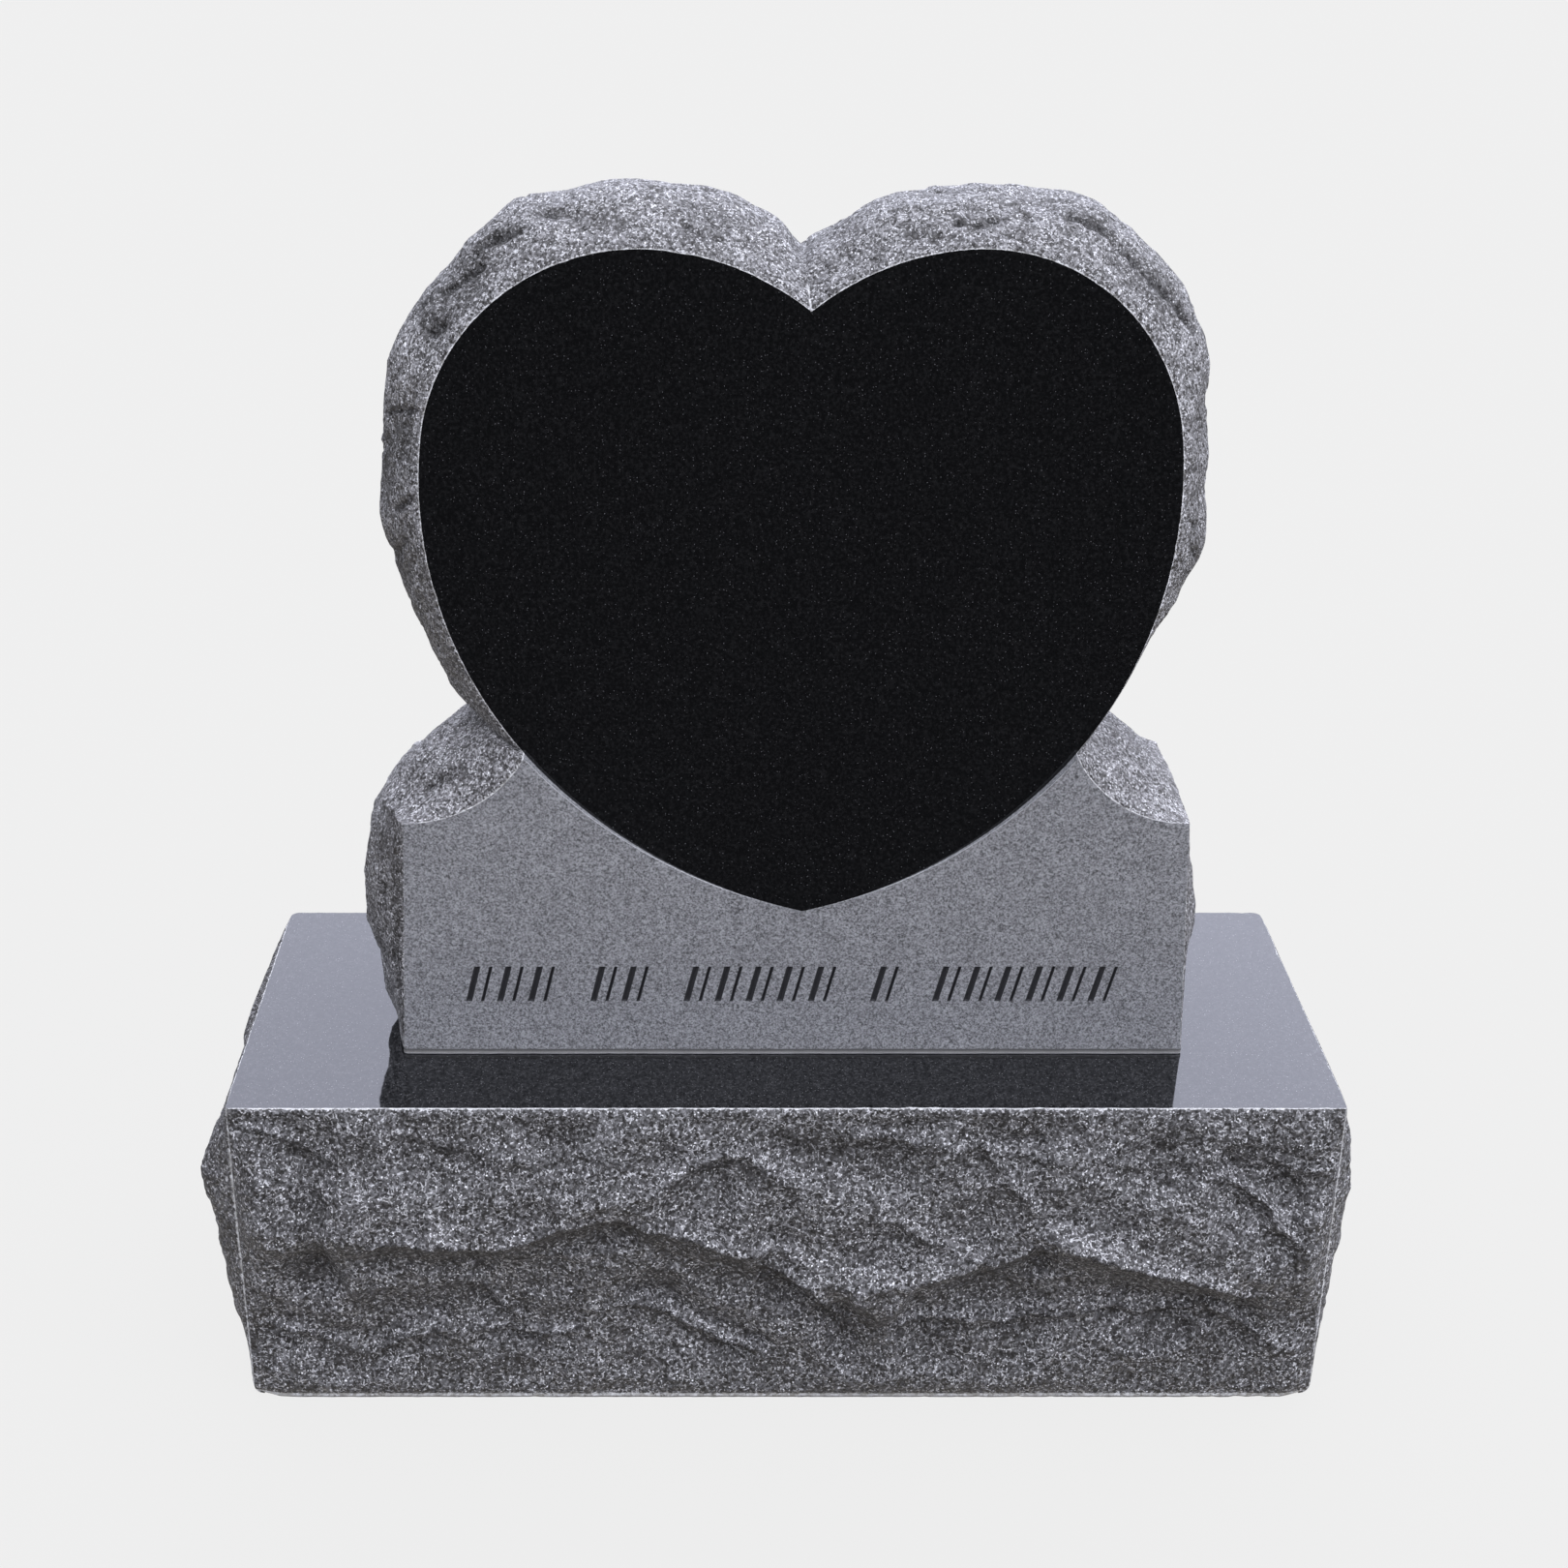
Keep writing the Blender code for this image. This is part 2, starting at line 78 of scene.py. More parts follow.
def gradedPlaces(length, step, first):
    # Places from 0 to length: the first steps at both ends grow by 1.6 times, those between are even
    near = [0.0]
    width = first
    while width < step:
        near.append(near[-1] + width)
        width *= 1.6
    near = np.array(near)
    count = int(math.ceil((length - 2.0 * near[-1]) / step))
    middle = np.linspace(near[-1], length - near[-1], count + 1)
    return np.concatenate([near[:-1], middle, (length - near[:-1])[::-1]])


def rolling(p, q, spacing, seed):
    # Smooth noise from 0 to 1: random heights on a square lattice, eased between its points
    column, row = p / spacing, q / spacing
    column, row = column - column.min() + 1.0, row - row.min() + 1.0
    size = (int(column.max()) + 3, int(row.max()) + 3)
    height = np.random.RandomState(seed).uniform(0.0, 1.0, size)
    i, j = column.astype(int), row.astype(int)
    across, up = ease(column - i), ease(row - j)
    lower = height[i, j] * (1.0 - across) + height[i + 1, j] * across
    upper = height[i, j + 1] * (1.0 - across) + height[i + 1, j + 1] * across
    return lower * (1.0 - up) + upper * up


def waver(p, q, seed, *waves):
    # Smooth noise about zero: a wave is a spacing and a swing, and each has a seed of its own
    return sum((rolling(p, q, spacing, seed + index) - 0.5) * swing
               for index, (spacing, swing) in enumerate(waves))


def struckBowls(p, q, length, height, seed, marks):
    # Depth cut by bowls struck on a loose grid. A bowl is its level, plus a tilt, plus its curve times
    # the squared distance from its centre; the lowest bowl counts, so that rims meet in ridges
    spacing, depth = marks["spacing"], marks["depth"]
    dice = np.random.RandomState(seed)
    across = int(math.ceil(length / spacing)) + 2
    up = int(math.ceil(height / spacing)) + 2
    startP, startQ = np.meshgrid(np.arange(across) - 0.5, np.arange(up) - 0.5)
    centreP = (startP.ravel() + dice.uniform(-marks["shift"], marks["shift"], across * up)) * spacing
    centreQ = (startQ.ravel() + dice.uniform(-marks["shift"], marks["shift"], across * up)) * spacing
    turn = marks["lean"] + dice.uniform(-marks["turn"], marks["turn"], across * up)
    tilt = dice.uniform(-marks["tilt"], marks["tilt"], (2, across * up))
    level = dice.uniform(0.0, marks["level"], across * up) * depth
    column = np.rint(p / spacing + 0.5).astype(int)
    row = np.rint(q / spacing + 0.5).astype(int)
    lowest = np.full(p.shape, depth)
    for besideP in range(-2, 3):
        for besideQ in range(-2, 3):
            bowl = np.clip(row + besideQ, 0, up - 1) * across + np.clip(column + besideP, 0, across - 1)
            dp, dq = p - centreP[bowl], q - centreQ[bowl]
            long = (dp * np.cos(turn[bowl]) + dq * np.sin(turn[bowl])) / spacing
            short = (dq * np.cos(turn[bowl]) - dp * np.sin(turn[bowl])) / (marks["squash"] * spacing)
            floor = level[bowl] + tilt[0][bowl] * dp + tilt[1][bowl] * dq
            lowest = np.minimum(lowest, floor + depth * marks["curve"] * (long ** 2 + short ** 2))
    return depth - np.clip(lowest, 0.0, depth)


def lipped(distance, over, under):
    # Cut on both sides of a crest, as a share of its depth: x times e to the power 1 - x, where x is the
    # distance as a share of the width above (over) or below (under) the crest
    x = np.where(distance > 0.0, distance / under, -distance / over)
    return x * np.exp(1.0 - x)


def crestCuts(p, q, crests):
    # Crests drawn as heights over the run. The stone is lowered on both sides of the line, so that its
    # upper facet looks up and its lower one down. The shade is e to the power minus the distance over a
    # wider width, broken up along the line: above it is painted light, below it painted shade
    strayed = waver(p, q, 71, (0.018, 0.008), (0.006, 0.0025))
    cut, shade = np.zeros(p.shape), np.zeros(p.shape)
    broken = 0.3 + 0.7 * rolling(p, q, 0.030, 76)
    for crest in crests:
        depth, over, under, *line = np.array(crest) / 1000.0
        places, heights = np.reshape(line, (-1, 2)).T
        drawn = np.interp(p, places, heights)
        slope = np.gradient(drawn, axis=0) / np.gradient(p, axis=0)
        below = (drawn - q) / np.sqrt(1.0 + slope ** 2) + strayed
        ends = between(p, places[0], places[-1], baseStone["crestEnds"])
        cut = cut + depth * ends * lipped(below, over, under)
        faded = np.where(below > 0.0, np.exp(-0.7 * below / under), -0.8 * np.exp(0.5 * below / over))
        shade = shade + faded * ends * broken * min(depth / 0.006, 1.0)
    return cut * baseStone["crestStrength"], shade


def ledgeCuts(p, q, ledges):
    # Straight crests anywhere on the stone, each with its ends, depth and reach; they die away at the
    # ends and the deepest one counts
    strayed = waver(p, q, 73, (0.021, 0.012), (0.007, 0.003))
    cut = np.zeros(p.shape)
    for startP, startQ, endP, endQ, depth, reach in ledges:
        length = math.hypot(endP - startP, endQ - startQ)
        wayP, wayQ = (endP - startP) / length, (endQ - startQ) / length
        share = ((p - startP) * wayP + (q - startQ) * wayQ) / length
        below = (p - startP) * wayQ - (q - startQ) * wayP + strayed
        ends = between(share, 0.0, 1.0, 0.3)
        cut = np.maximum(cut, depth * ends * lipped(below, reach, 0.5 * reach))
    return cut


def creviceCuts(p, q, crevices):
    # Short clefts: the depth times a bell curve of the distance from a segment, as a share of the width
    strayed = waver(p, q, 75, (0.005, 0.006))
    cut = np.zeros(p.shape)
    for startP, startQ, endP, endQ, depth, width in np.array(crevices) / 1000.0:
        wayP, wayQ = endP - startP, endQ - startQ
        share = ((p - startP) * wayP + (q - startQ) * wayQ) / (wayP ** 2 + wayQ ** 2)
        share = np.clip(share, 0.0, 1.0)
        away = np.hypot(p - startP - share * wayP, q - startQ - share * wayQ) + strayed
        cut = np.maximum(cut, depth * bell(away / (0.75 * width)))
    return cut


def strayLedges(seed, count, length, height, sizes):
    # Short ledges strewn over a face: middle, half length, slope, depth and reach drawn at random
    dice = np.random.RandomState(seed)
    middleP = dice.uniform(0.0, length, count)
    middleQ = dice.uniform(0.12, 0.92, count) * height
    half, slope, depth, spread = (dice.uniform(*sizes[name], count)
                                  for name in ("half", "slope", "depth", "spread"))
    halfP, halfQ = half * np.cos(slope), half * np.sin(slope)
    return np.stack([middleP - halfP, middleQ - halfQ, middleP + halfP, middleQ + halfQ,
                     depth, depth * spread], axis=-1)


# Broken stone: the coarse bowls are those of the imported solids, the finer ones only take away from them.
coarseMarks = {"spacing": 0.075, "depth": 0.010, "squash": 0.7, "curve": 2.2, "shift": 0.4,
               "lean": 0.0, "turn": 0.7, "tilt": 0.06, "level": 0.35}
middleMarks = {"spacing": 0.027, "depth": 0.0034, "squash": 0.6, "curve": 2.0, "shift": 0.45,
               "lean": -0.4, "turn": 0.8, "tilt": 0.12, "level": 0.6}
smallMarks = {"spacing": 0.0105, "depth": 0.0021, "squash": 0.6, "curve": 2.0, "shift": 0.45,
              "lean": -0.3, "turn": 1.2, "tilt": 0.24, "level": 0.7}
# A face takes a share of the coarse bowls and an even cut beside it
frontBowls, plainBowls, rimBowls = (1.0, 0.0), (0.5, 0.0004), (0.45, 0.0015)
# Cut at which the painted shade is full
fullShadeCut = 0.014                                   # cut that counts as a whole hollow


def brokenStone(p, q, length, height, seed, ledges, middleShare, smallShare):
    # Finer cuts than the solids have: middle and small bowls on a warped grid, ledges and grain
    warpedP = p + waver(p, q, seed + 1, (0.05, 0.03))
    warpedQ = q + waver(p, q, seed + 2, (0.05, 0.03))
    rough = 0.35 + 0.65 * rolling(p, q, 0.06, seed + 3)
    cut = struckBowls(warpedP, warpedQ, length, height, seed + 4, middleMarks) * rough * middleShare
    cut = cut + struckBowls(warpedP, warpedQ, length, height, seed + 5, smallMarks) * rough * smallShare
    cut = cut + ledgeCuts(p, q, ledges)
    return cut + 0.0005 * rolling(p, q, 0.0045, seed + 6)


def chippedArris(run, seed, most):
    # How far an arris is bruised back: a little everywhere, more in a few places
    still = np.zeros(run.shape)
    fine = rolling(run, still, 0.006, seed)
    rare = ease((rolling(run, still, 0.017, seed + 1) - 0.78) / 0.2)
    return most * (0.1 + 0.25 * fine + 0.65 * rare * fine)


def linked(name, data):
    made = bpy.data.objects.new(name, data)
    bpy.context.scene.collection.objects.link(made)
    return made


def pieceFrom(name, points, quads, quadFinish, caps, finishes, values):
    # A mesh from whole arrays: quads in rows of four, flat caps as (indices, finish), values per point
    corners = np.concatenate([quads.ravel()] + [np.asarray(indices) for indices, _ in caps])
    totals = np.concatenate([np.full(len(quads), 4), [len(indices) for indices, _ in caps]])
    mesh = bpy.data.meshes.new(name)
    mesh.vertices.add(len(points))
    mesh.vertices.foreach_set("co", np.ascontiguousarray(points, np.float32).ravel())
    mesh.loops.add(len(corners))
    mesh.loops.foreach_set("vertex_index", corners.astype(np.int32))
    mesh.polygons.add(len(totals))
    mesh.polygons.foreach_set("loop_start", (np.cumsum(totals) - totals).astype(np.int32))
    mesh.update(calc_edges=True)
    finish = np.concatenate([quadFinish, [index for _, index in caps]]).astype(np.int32)
    mesh.polygons.foreach_set("material_index", finish)
    smooth = np.concatenate([np.ones(len(quads), bool), np.zeros(len(caps), bool)])
    mesh.polygons.foreach_set("use_smooth", smooth)
    for valueName, numbers in values.items():
        layer = mesh.attributes.new(valueName, "FLOAT", "POINT")
        layer.data.foreach_set("value", np.ascontiguousarray(numbers, np.float32).ravel())
    for material in finishes:
        mesh.materials.append(material)
    made = linked(name, mesh)
    print(name, "has", len(totals), "faces, problems mended:", mesh.validate())
    return made


def heldIn(points, low, high):
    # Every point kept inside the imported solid's own box
    return np.clip(points, np.array(low), np.array(high))


def ringPiece(name, grid, low, high, topFinish, footFinish, finishes, values):
    # A piece from a grid whose last column meets its first, with a flat cap on top and one below
    columns, rows = grid.shape[:2]
    column, row = np.meshgrid(np.arange(columns), np.arange(rows - 1), indexing="ij")
    here, beside = column * rows + row, (column + 1) % columns * rows + row
    quads = np.stack([here, beside, beside + 1, here + 1], axis=-1).reshape(-1, 4)
    foot = np.arange(columns) * rows
    caps = ((foot + rows - 1, topFinish), (foot[::-1], footFinish))
    points = heldIn(grid.reshape(-1, 3), low, high)
    return pieceFrom(name, points, quads, np.zeros(len(quads)), caps, finishes, values)


# ---- Materials ----

class Value:
    # An output socket; arithmetic on it adds Math nodes
    def __init__(self, shader, socket):
        self.shader, self.socket = shader, socket

    def maths(self, operation, first, second=None):
        terms = {0: first} if second is None else {0: first, 1: second}
        return self.shader.node("ShaderNodeMath", {"operation": operation}, terms)

    def __abs__(self):
        return self.maths("ABSOLUTE", self)

    def step(self, low, high):
        # 0 below low, 1 above high, eased between
        return self.shader.node("ShaderNodeMapRange", {"interpolation_type": "SMOOTHSTEP"},
                                {"Value": self, "From Min": low, "From Max": high})


# Plus, minus and times, with the value on either side
for sign, operation in (("add", "ADD"), ("sub", "SUBTRACT"), ("mul", "MULTIPLY")):
    setattr(Value, f"__{sign}__", lambda self, other, named=operation: self.maths(named, self, other))
    setattr(Value, f"__r{sign}__", lambda self, other, named=operation: self.maths(named, other, self))


class Shader:
    # The node tree of a material or world, and the nodes that are used in several of them
    def __init__(self, owner):
        owner.use_nodes = True
        self.owner = owner
        self.tree = owner.node_tree

    def node(self, kind, settings=None, inputs=None, output=0):
        made = self.tree.nodes.new(kind)
        for name, setting in (settings or {}).items():
            setattr(made, name, setting)
        self.feed(made, inputs or {})
        return Value(self, made.outputs[output])

    def feed(self, made, inputs):
        # Inputs of a node by name or number: values are linked, plain numbers are set
        for name, value in inputs.items():
            if isinstance(value, Value):
                self.tree.links.new(value.socket, made.inputs[name])
            else:
                made.inputs[name].default_value = value

    def place(self):
        return self.node("ShaderNodeTexCoord", output=3)

    def point(self, name):
        return self.node("ShaderNodeAttribute", {"attribute_name": name}, output=2)

    def noise(self, place, size, detail=2.0, roughness=0.5):
        return self.node("ShaderNodeTexNoise", {}, {"Vector": place, "Scale": 1.0 / size,
                                                    "Detail": detail, "Roughness": roughness})

    def cells(self, place, size, output=0, feature="F1"):
        return self.node("ShaderNodeTexVoronoi", {"feature": feature},
                         {"Vector": place, "Scale": 1.0 / size}, output)

    def spots(self, place, size, low, high, feature="F1"):
        # Spots round the middles of the cells, or lines along their edges
        return 1.0 - self.cells(place, size, feature=feature).step(low, high)

    def cellGrey(self, place, size):
        # One random number from 0 to 1 for each crystal
        return self.node("ShaderNodeSeparateColor", {}, {0: self.cells(place, size, output=1)})

    def vector(self, operation, first, second=None, third=None, scale=None, output=0):
        terms = {0: first, 1: second, 2: third, "Scale": scale}
        return self.node("ShaderNodeVectorMath", {"operation": operation},
                         {name: term for name, term in terms.items() if term is not None}, output)

    def facets(self, place, size):
        # Height of flat facets, one to a crystal: a random direction times the way from its middle
        away = self.vector("SUBTRACT", place, self.cells(place, size, output=2))
        tilt = self.vector("SUBTRACT", self.cells(place, size, output=1), (0.5, 0.5, 0.5))
        return self.vector("DOT_PRODUCT", away, tilt, output=1)

    def mix(self, share, first, second):
        return self.node("ShaderNodeMix", {"data_type": "RGBA"}, {0: share, 6: first, 7: second}, output=2)

    def axis(self, place, index):
        return self.node("ShaderNodeSeparateXYZ", {}, {0: place}, index)

    def surface(self, colour, roughness, relief=None, level=0.5, others=None):
        # Fills the material's surface; the relief is its height, scale and strength
        inputs = {"Base Color": colour, "Roughness": roughness, "Specular IOR Level": level}
        if relief:
            names = ("Height", "Distance", "Strength")
            inputs["Normal"] = self.node("ShaderNodeBump", {}, dict(zip(names, relief)))
        self.feed(self.tree.nodes["Principled BSDF"], {**inputs, **(others or {})})
        return self.owner


def newFinish(name):
    shader = Shader(bpy.data.materials.new(name))
    return shader, shader.place()


def tone(colour):
    return (*colour, 1.0)


graniteFinish = {
    "polished": (0.0042, 0.0044, 0.0050),
    "heartSpeck": (0.132, 0.134, 0.138), "heartCloud": (0.0150, 0.0152, 0.0160), "heartSpeckSize": 0.0027,
    "topSpeck": (0.250, 0.252, 0.258), "topCloud": (0.040, 0.040, 0.042), "topSpeckSize": 0.0026,
    "steeled": (0.060, 0.0605, 0.063), "steeledLight": (0.465, 0.470, 0.490),
    "steeledDot": (0.05, 0.05, 0.052), "steeledCloud": (0.10, 0.10, 0.105),
    "crystalDark": (0.034, 0.032, 0.031), "crystalMiddle": (0.250, 0.247, 0.254),
    # The last of these is a painted shadow along the very foot
    "crystalLight": (0.950, 0.950, 0.970), "bruise": (0.74, 0.74, 0.74), "footShadow": (0.02, 0.02, 0.02),
    # Painted shade in hollows and clefts, and how strongly light is painted above crests
    "hollowShade": (0.045, 0.041, 0.038), "cleftShade": (0.010, 0.009, 0.009), "paintedLight": 0.8,
    "baseLightness": 0.95, "tabletLightness": 1.55, "baseFleck": 1.0, "tabletFleck": 1.08,
    "baseCrystal": 0.0023, "tabletCrystal": 0.0020, "facetTilt": 1.0,
    "sawn": (0.12, 0.12, 0.123), "sawnLight": (0.23, 0.23, 0.24),
    "paint": (0.012, 0.012, 0.014), "paintLight": (0.035, 0.035, 0.038),
    "compound": (0.150, 0.146, 0.140), "compoundLight": (0.300, 0.294, 0.285),
    # A painted highlight along the compound's foot and a painted shadow along its top, under the panel
    "bedFootHighlight": (0.75, 0.75, 0.76), "underPanelShadow": (0.03, 0.03, 0.03),
}


def hue(name):
    return tone(graniteFinish[name])


def polishedGranite(name, part):
    # Near black, mirror smooth, with many tiny dim specks and a faint mottle
    shader, place = newFinish(name)
    speckSize = graniteFinish[part + "SpeckSize"]
    speckle = shader.spots(place, speckSize, 0.08, 0.20)
    chosen = shader.cellGrey(place, speckSize).step(0.15, 1.0)
    cloud = shader.noise(place, speckSize, 4.0, 0.7).step(0.42, 0.72)
    shown = shader.mix(cloud, hue("polished"), hue(part + "Cloud"))
    shown = shader.mix(speckle * chosen, shown, hue(part + "Speck"))
    return shader.surface(shown, shader.noise(place, 0.012) * 0.03 + 0.03, others={"IOR": 1.55})


def steeledGranite():
    # Even mid grey with a crisp light and dark grain and a few dark dots
    shader, place = newFinish("granite_steeled")
    grain = shader.noise(place, 0.0017, 3.0, 0.7)
    crystal = shader.cellGrey(place, 0.0017)
    light = grain.step(0.36, 0.64) * 0.6 + crystal * 0.4
    cloud = shader.noise(place, 0.03, 2.0).step(0.3, 0.7) * 0.12 + 0.88
    dots = shader.spots(place, 0.009, 0.05, 0.13) * shader.cellGrey(place, 0.009).step(0.4, 0.6)
    shown = shader.mix(light, hue("steeled"), hue("steeledLight"))
    shown = shader.mix(dots * 0.75, shown, hue("steeledDot"))
    shown = shader.mix(1.0 - cloud, shown, hue("steeledCloud"))
    return shader.surface(shown, grain * 0.2 + 0.55, (grain + crystal, 0.0004, 0.6), level=0.4)


def pitchedGranite(name, part):
    # Broken crystals: each has its own grey and is a small flat facet with its own tilt; pale points
    # and broken worm-like rims lie among them. Painted shade in hollows and clefts, painted light above
    # crests, a painted shadow along the foot; arrises are bruised
    shader, place = newFinish(name)
    size, lightness, fleck = (graniteFinish[part + word] for word in ("Crystal", "Lightness", "Fleck"))
    wander = shader.node("ShaderNodeTexNoise", {}, {"Vector": place, "Scale": 0.6 / size, "Detail": 1.0},
                         output=1)
    bent = shader.vector("MULTIPLY_ADD", wander, (0.0018, 0.0018, 0.0018), place)
    crystal = shader.cellGrey(bent, size)
    facets = shader.facets(bent, size * 1.5) + shader.facets(bent, size * 0.8)
    rims = shader.spots(bent, size * 1.8, 0.03, 0.14, "DISTANCE_TO_EDGE")
    broken = shader.noise(place, size * 1.6, 2.0, 0.6).step(0.49, 0.59)
    points = shader.spots(bent, size * 1.2, 0.24, 0.38) * shader.cellGrey(bent, size * 1.2)
    patchy = shader.noise(place, 0.016, 3.0, 0.65).step(0.32, 0.66) * 0.4 + 0.6
    pale = (rims * broken * 0.66 + points.step(0.58, 0.86)) * patchy * fleck
    shown = shader.mix(crystal * crystal * (patchy * 0.7 + 0.4), hue("crystalDark"), hue("crystalMiddle"))
    # Painted shade: a high value darkens the crystals and tints them warm; a value below zero is painted
    # light
    paintedShade = shader.point("paintedShade")
    shadeMask = paintedShade.step(0.3, 1.0)
    shown = shader.vector("SCALE", shown, scale=(1.0 - shadeMask * 0.3) * lightness)
    shown = shader.mix(pale, shown, hue("crystalLight"))
    # Painted light: brighter where the value is below zero, above crests and on lit facets
    shown = shader.vector("SCALE", shown, scale=(0.0 - paintedShade).step(0.0, 1.0) * graniteFinish["paintedLight"] + 1.0)
    shown = shader.mix(shadeMask * 0.36, shown, hue("hollowShade"))
    # Painted shade, near black, in the deepest clefts
    cleft = (paintedShade + (shader.noise(place, 0.0035, 2.0, 0.6) - 0.5) * 1.6).step(1.25, 1.6)
    shown = shader.mix(cleft * 0.68, shown, hue("cleftShade"))
    rub = shader.point("arris") + (shader.noise(place, 0.004, 2.0, 0.6) - 0.5) * 1.6
    shown = shader.mix(rub.step(0.45, 0.75) * 0.95, shown, hue("bruise"))
    # A painted shadow along the very foot, where the stone meets the floor
    shown = shader.mix(shader.axis(place, 2).step(0.0008, 0.0014), hue("footShadow"), shown)
    return shader.surface(shown, crystal * 0.25 + 0.42, (facets * graniteFinish["facetTilt"], 1.0, 1.0))


def bruisedGranite():
    # The thin pale line where an arris of the panel is bruised
    shader, place = newFinish("granite_bruised")
    grain = shader.noise(place, 0.002, 2.0, 0.6)
    shown = shader.mix(grain.step(0.35, 0.65), hue("steeledLight"), hue("bruise"))
    return shader.surface(shown, grain * 0.2 + 0.6, (grain, 0.0004, 0.5))


def sawnGranite():
    # Sawn underside: grey with faint straight saw lines
    shader, place = newFinish("granite_sawn")
    lines = shader.node("ShaderNodeTexWave", {"bands_direction": "Y"},
                        {"Vector": place, "Scale": 40.0, "Distortion": 1.5, "Detail": 2.0})
    grain = shader.noise(place, 0.002, 3.0, 0.6)
    shown = shader.mix(grain.step(0.35, 0.65) * 0.7 + lines * 0.3, hue("sawn"), hue("sawnLight"))
    return shader.surface(shown, grain * 0.2 + 0.6, (lines + grain, 0.0003, 0.5))


def strokePaint():
    # The near-black filling of the cut strokes, matt and a little uneven
    shader, place = newFinish("stroke_paint")
    grain = shader.noise(place, 0.0015, 2.0, 0.6)
    shown = shader.mix(grain, hue("paint"), hue("paintLight"))
    return shader.surface(shown, grain * 0.3 + 0.5, (grain, 0.0003, 0.4))


def settingCompound():
    # Grey-brown compound, smoothed, with a painted highlight along its foot and a painted shadow along its
    # top, under the panel
    shader, place = newFinish("setting_compound")
    grain = shader.noise(place, 0.0012, 3.0, 0.6)
    edge = shader.axis(place, 2) + (grain - 0.5) * 0.0012
    pale = 1.0 - edge.step(bedLow.z + 0.0009, bedLow.z + 0.0018)
    shown = shader.mix(grain, hue("compound"), hue("compoundLight"))
    shown = shader.mix(pale * 0.9, shown, hue("bedFootHighlight"))
    underPanelShadow = edge.step(bedHigh.z - 0.0016, bedHigh.z - 0.0008)
    shown = shader.mix(underPanelShadow * 0.85, shown, hue("underPanelShadow"))
    return shader.surface(shown, grain * 0.2 + 0.7, (grain, 0.0004, 0.5))


heartPolish = polishedGranite("granite_polished_face", "heart")
topPolish = polishedGranite("granite_polished_top", "top")
steeled, sawn = steeledGranite(), sawnGranite()
basePitched = pitchedGranite("granite_pitched_base", "base")
tabletPitched = pitchedGranite("granite_pitched_tablet", "tablet")
bruised, paint, compound = bruisedGranite(), strokePaint(), settingCompound()
print("materials made")


# ---- Base ----

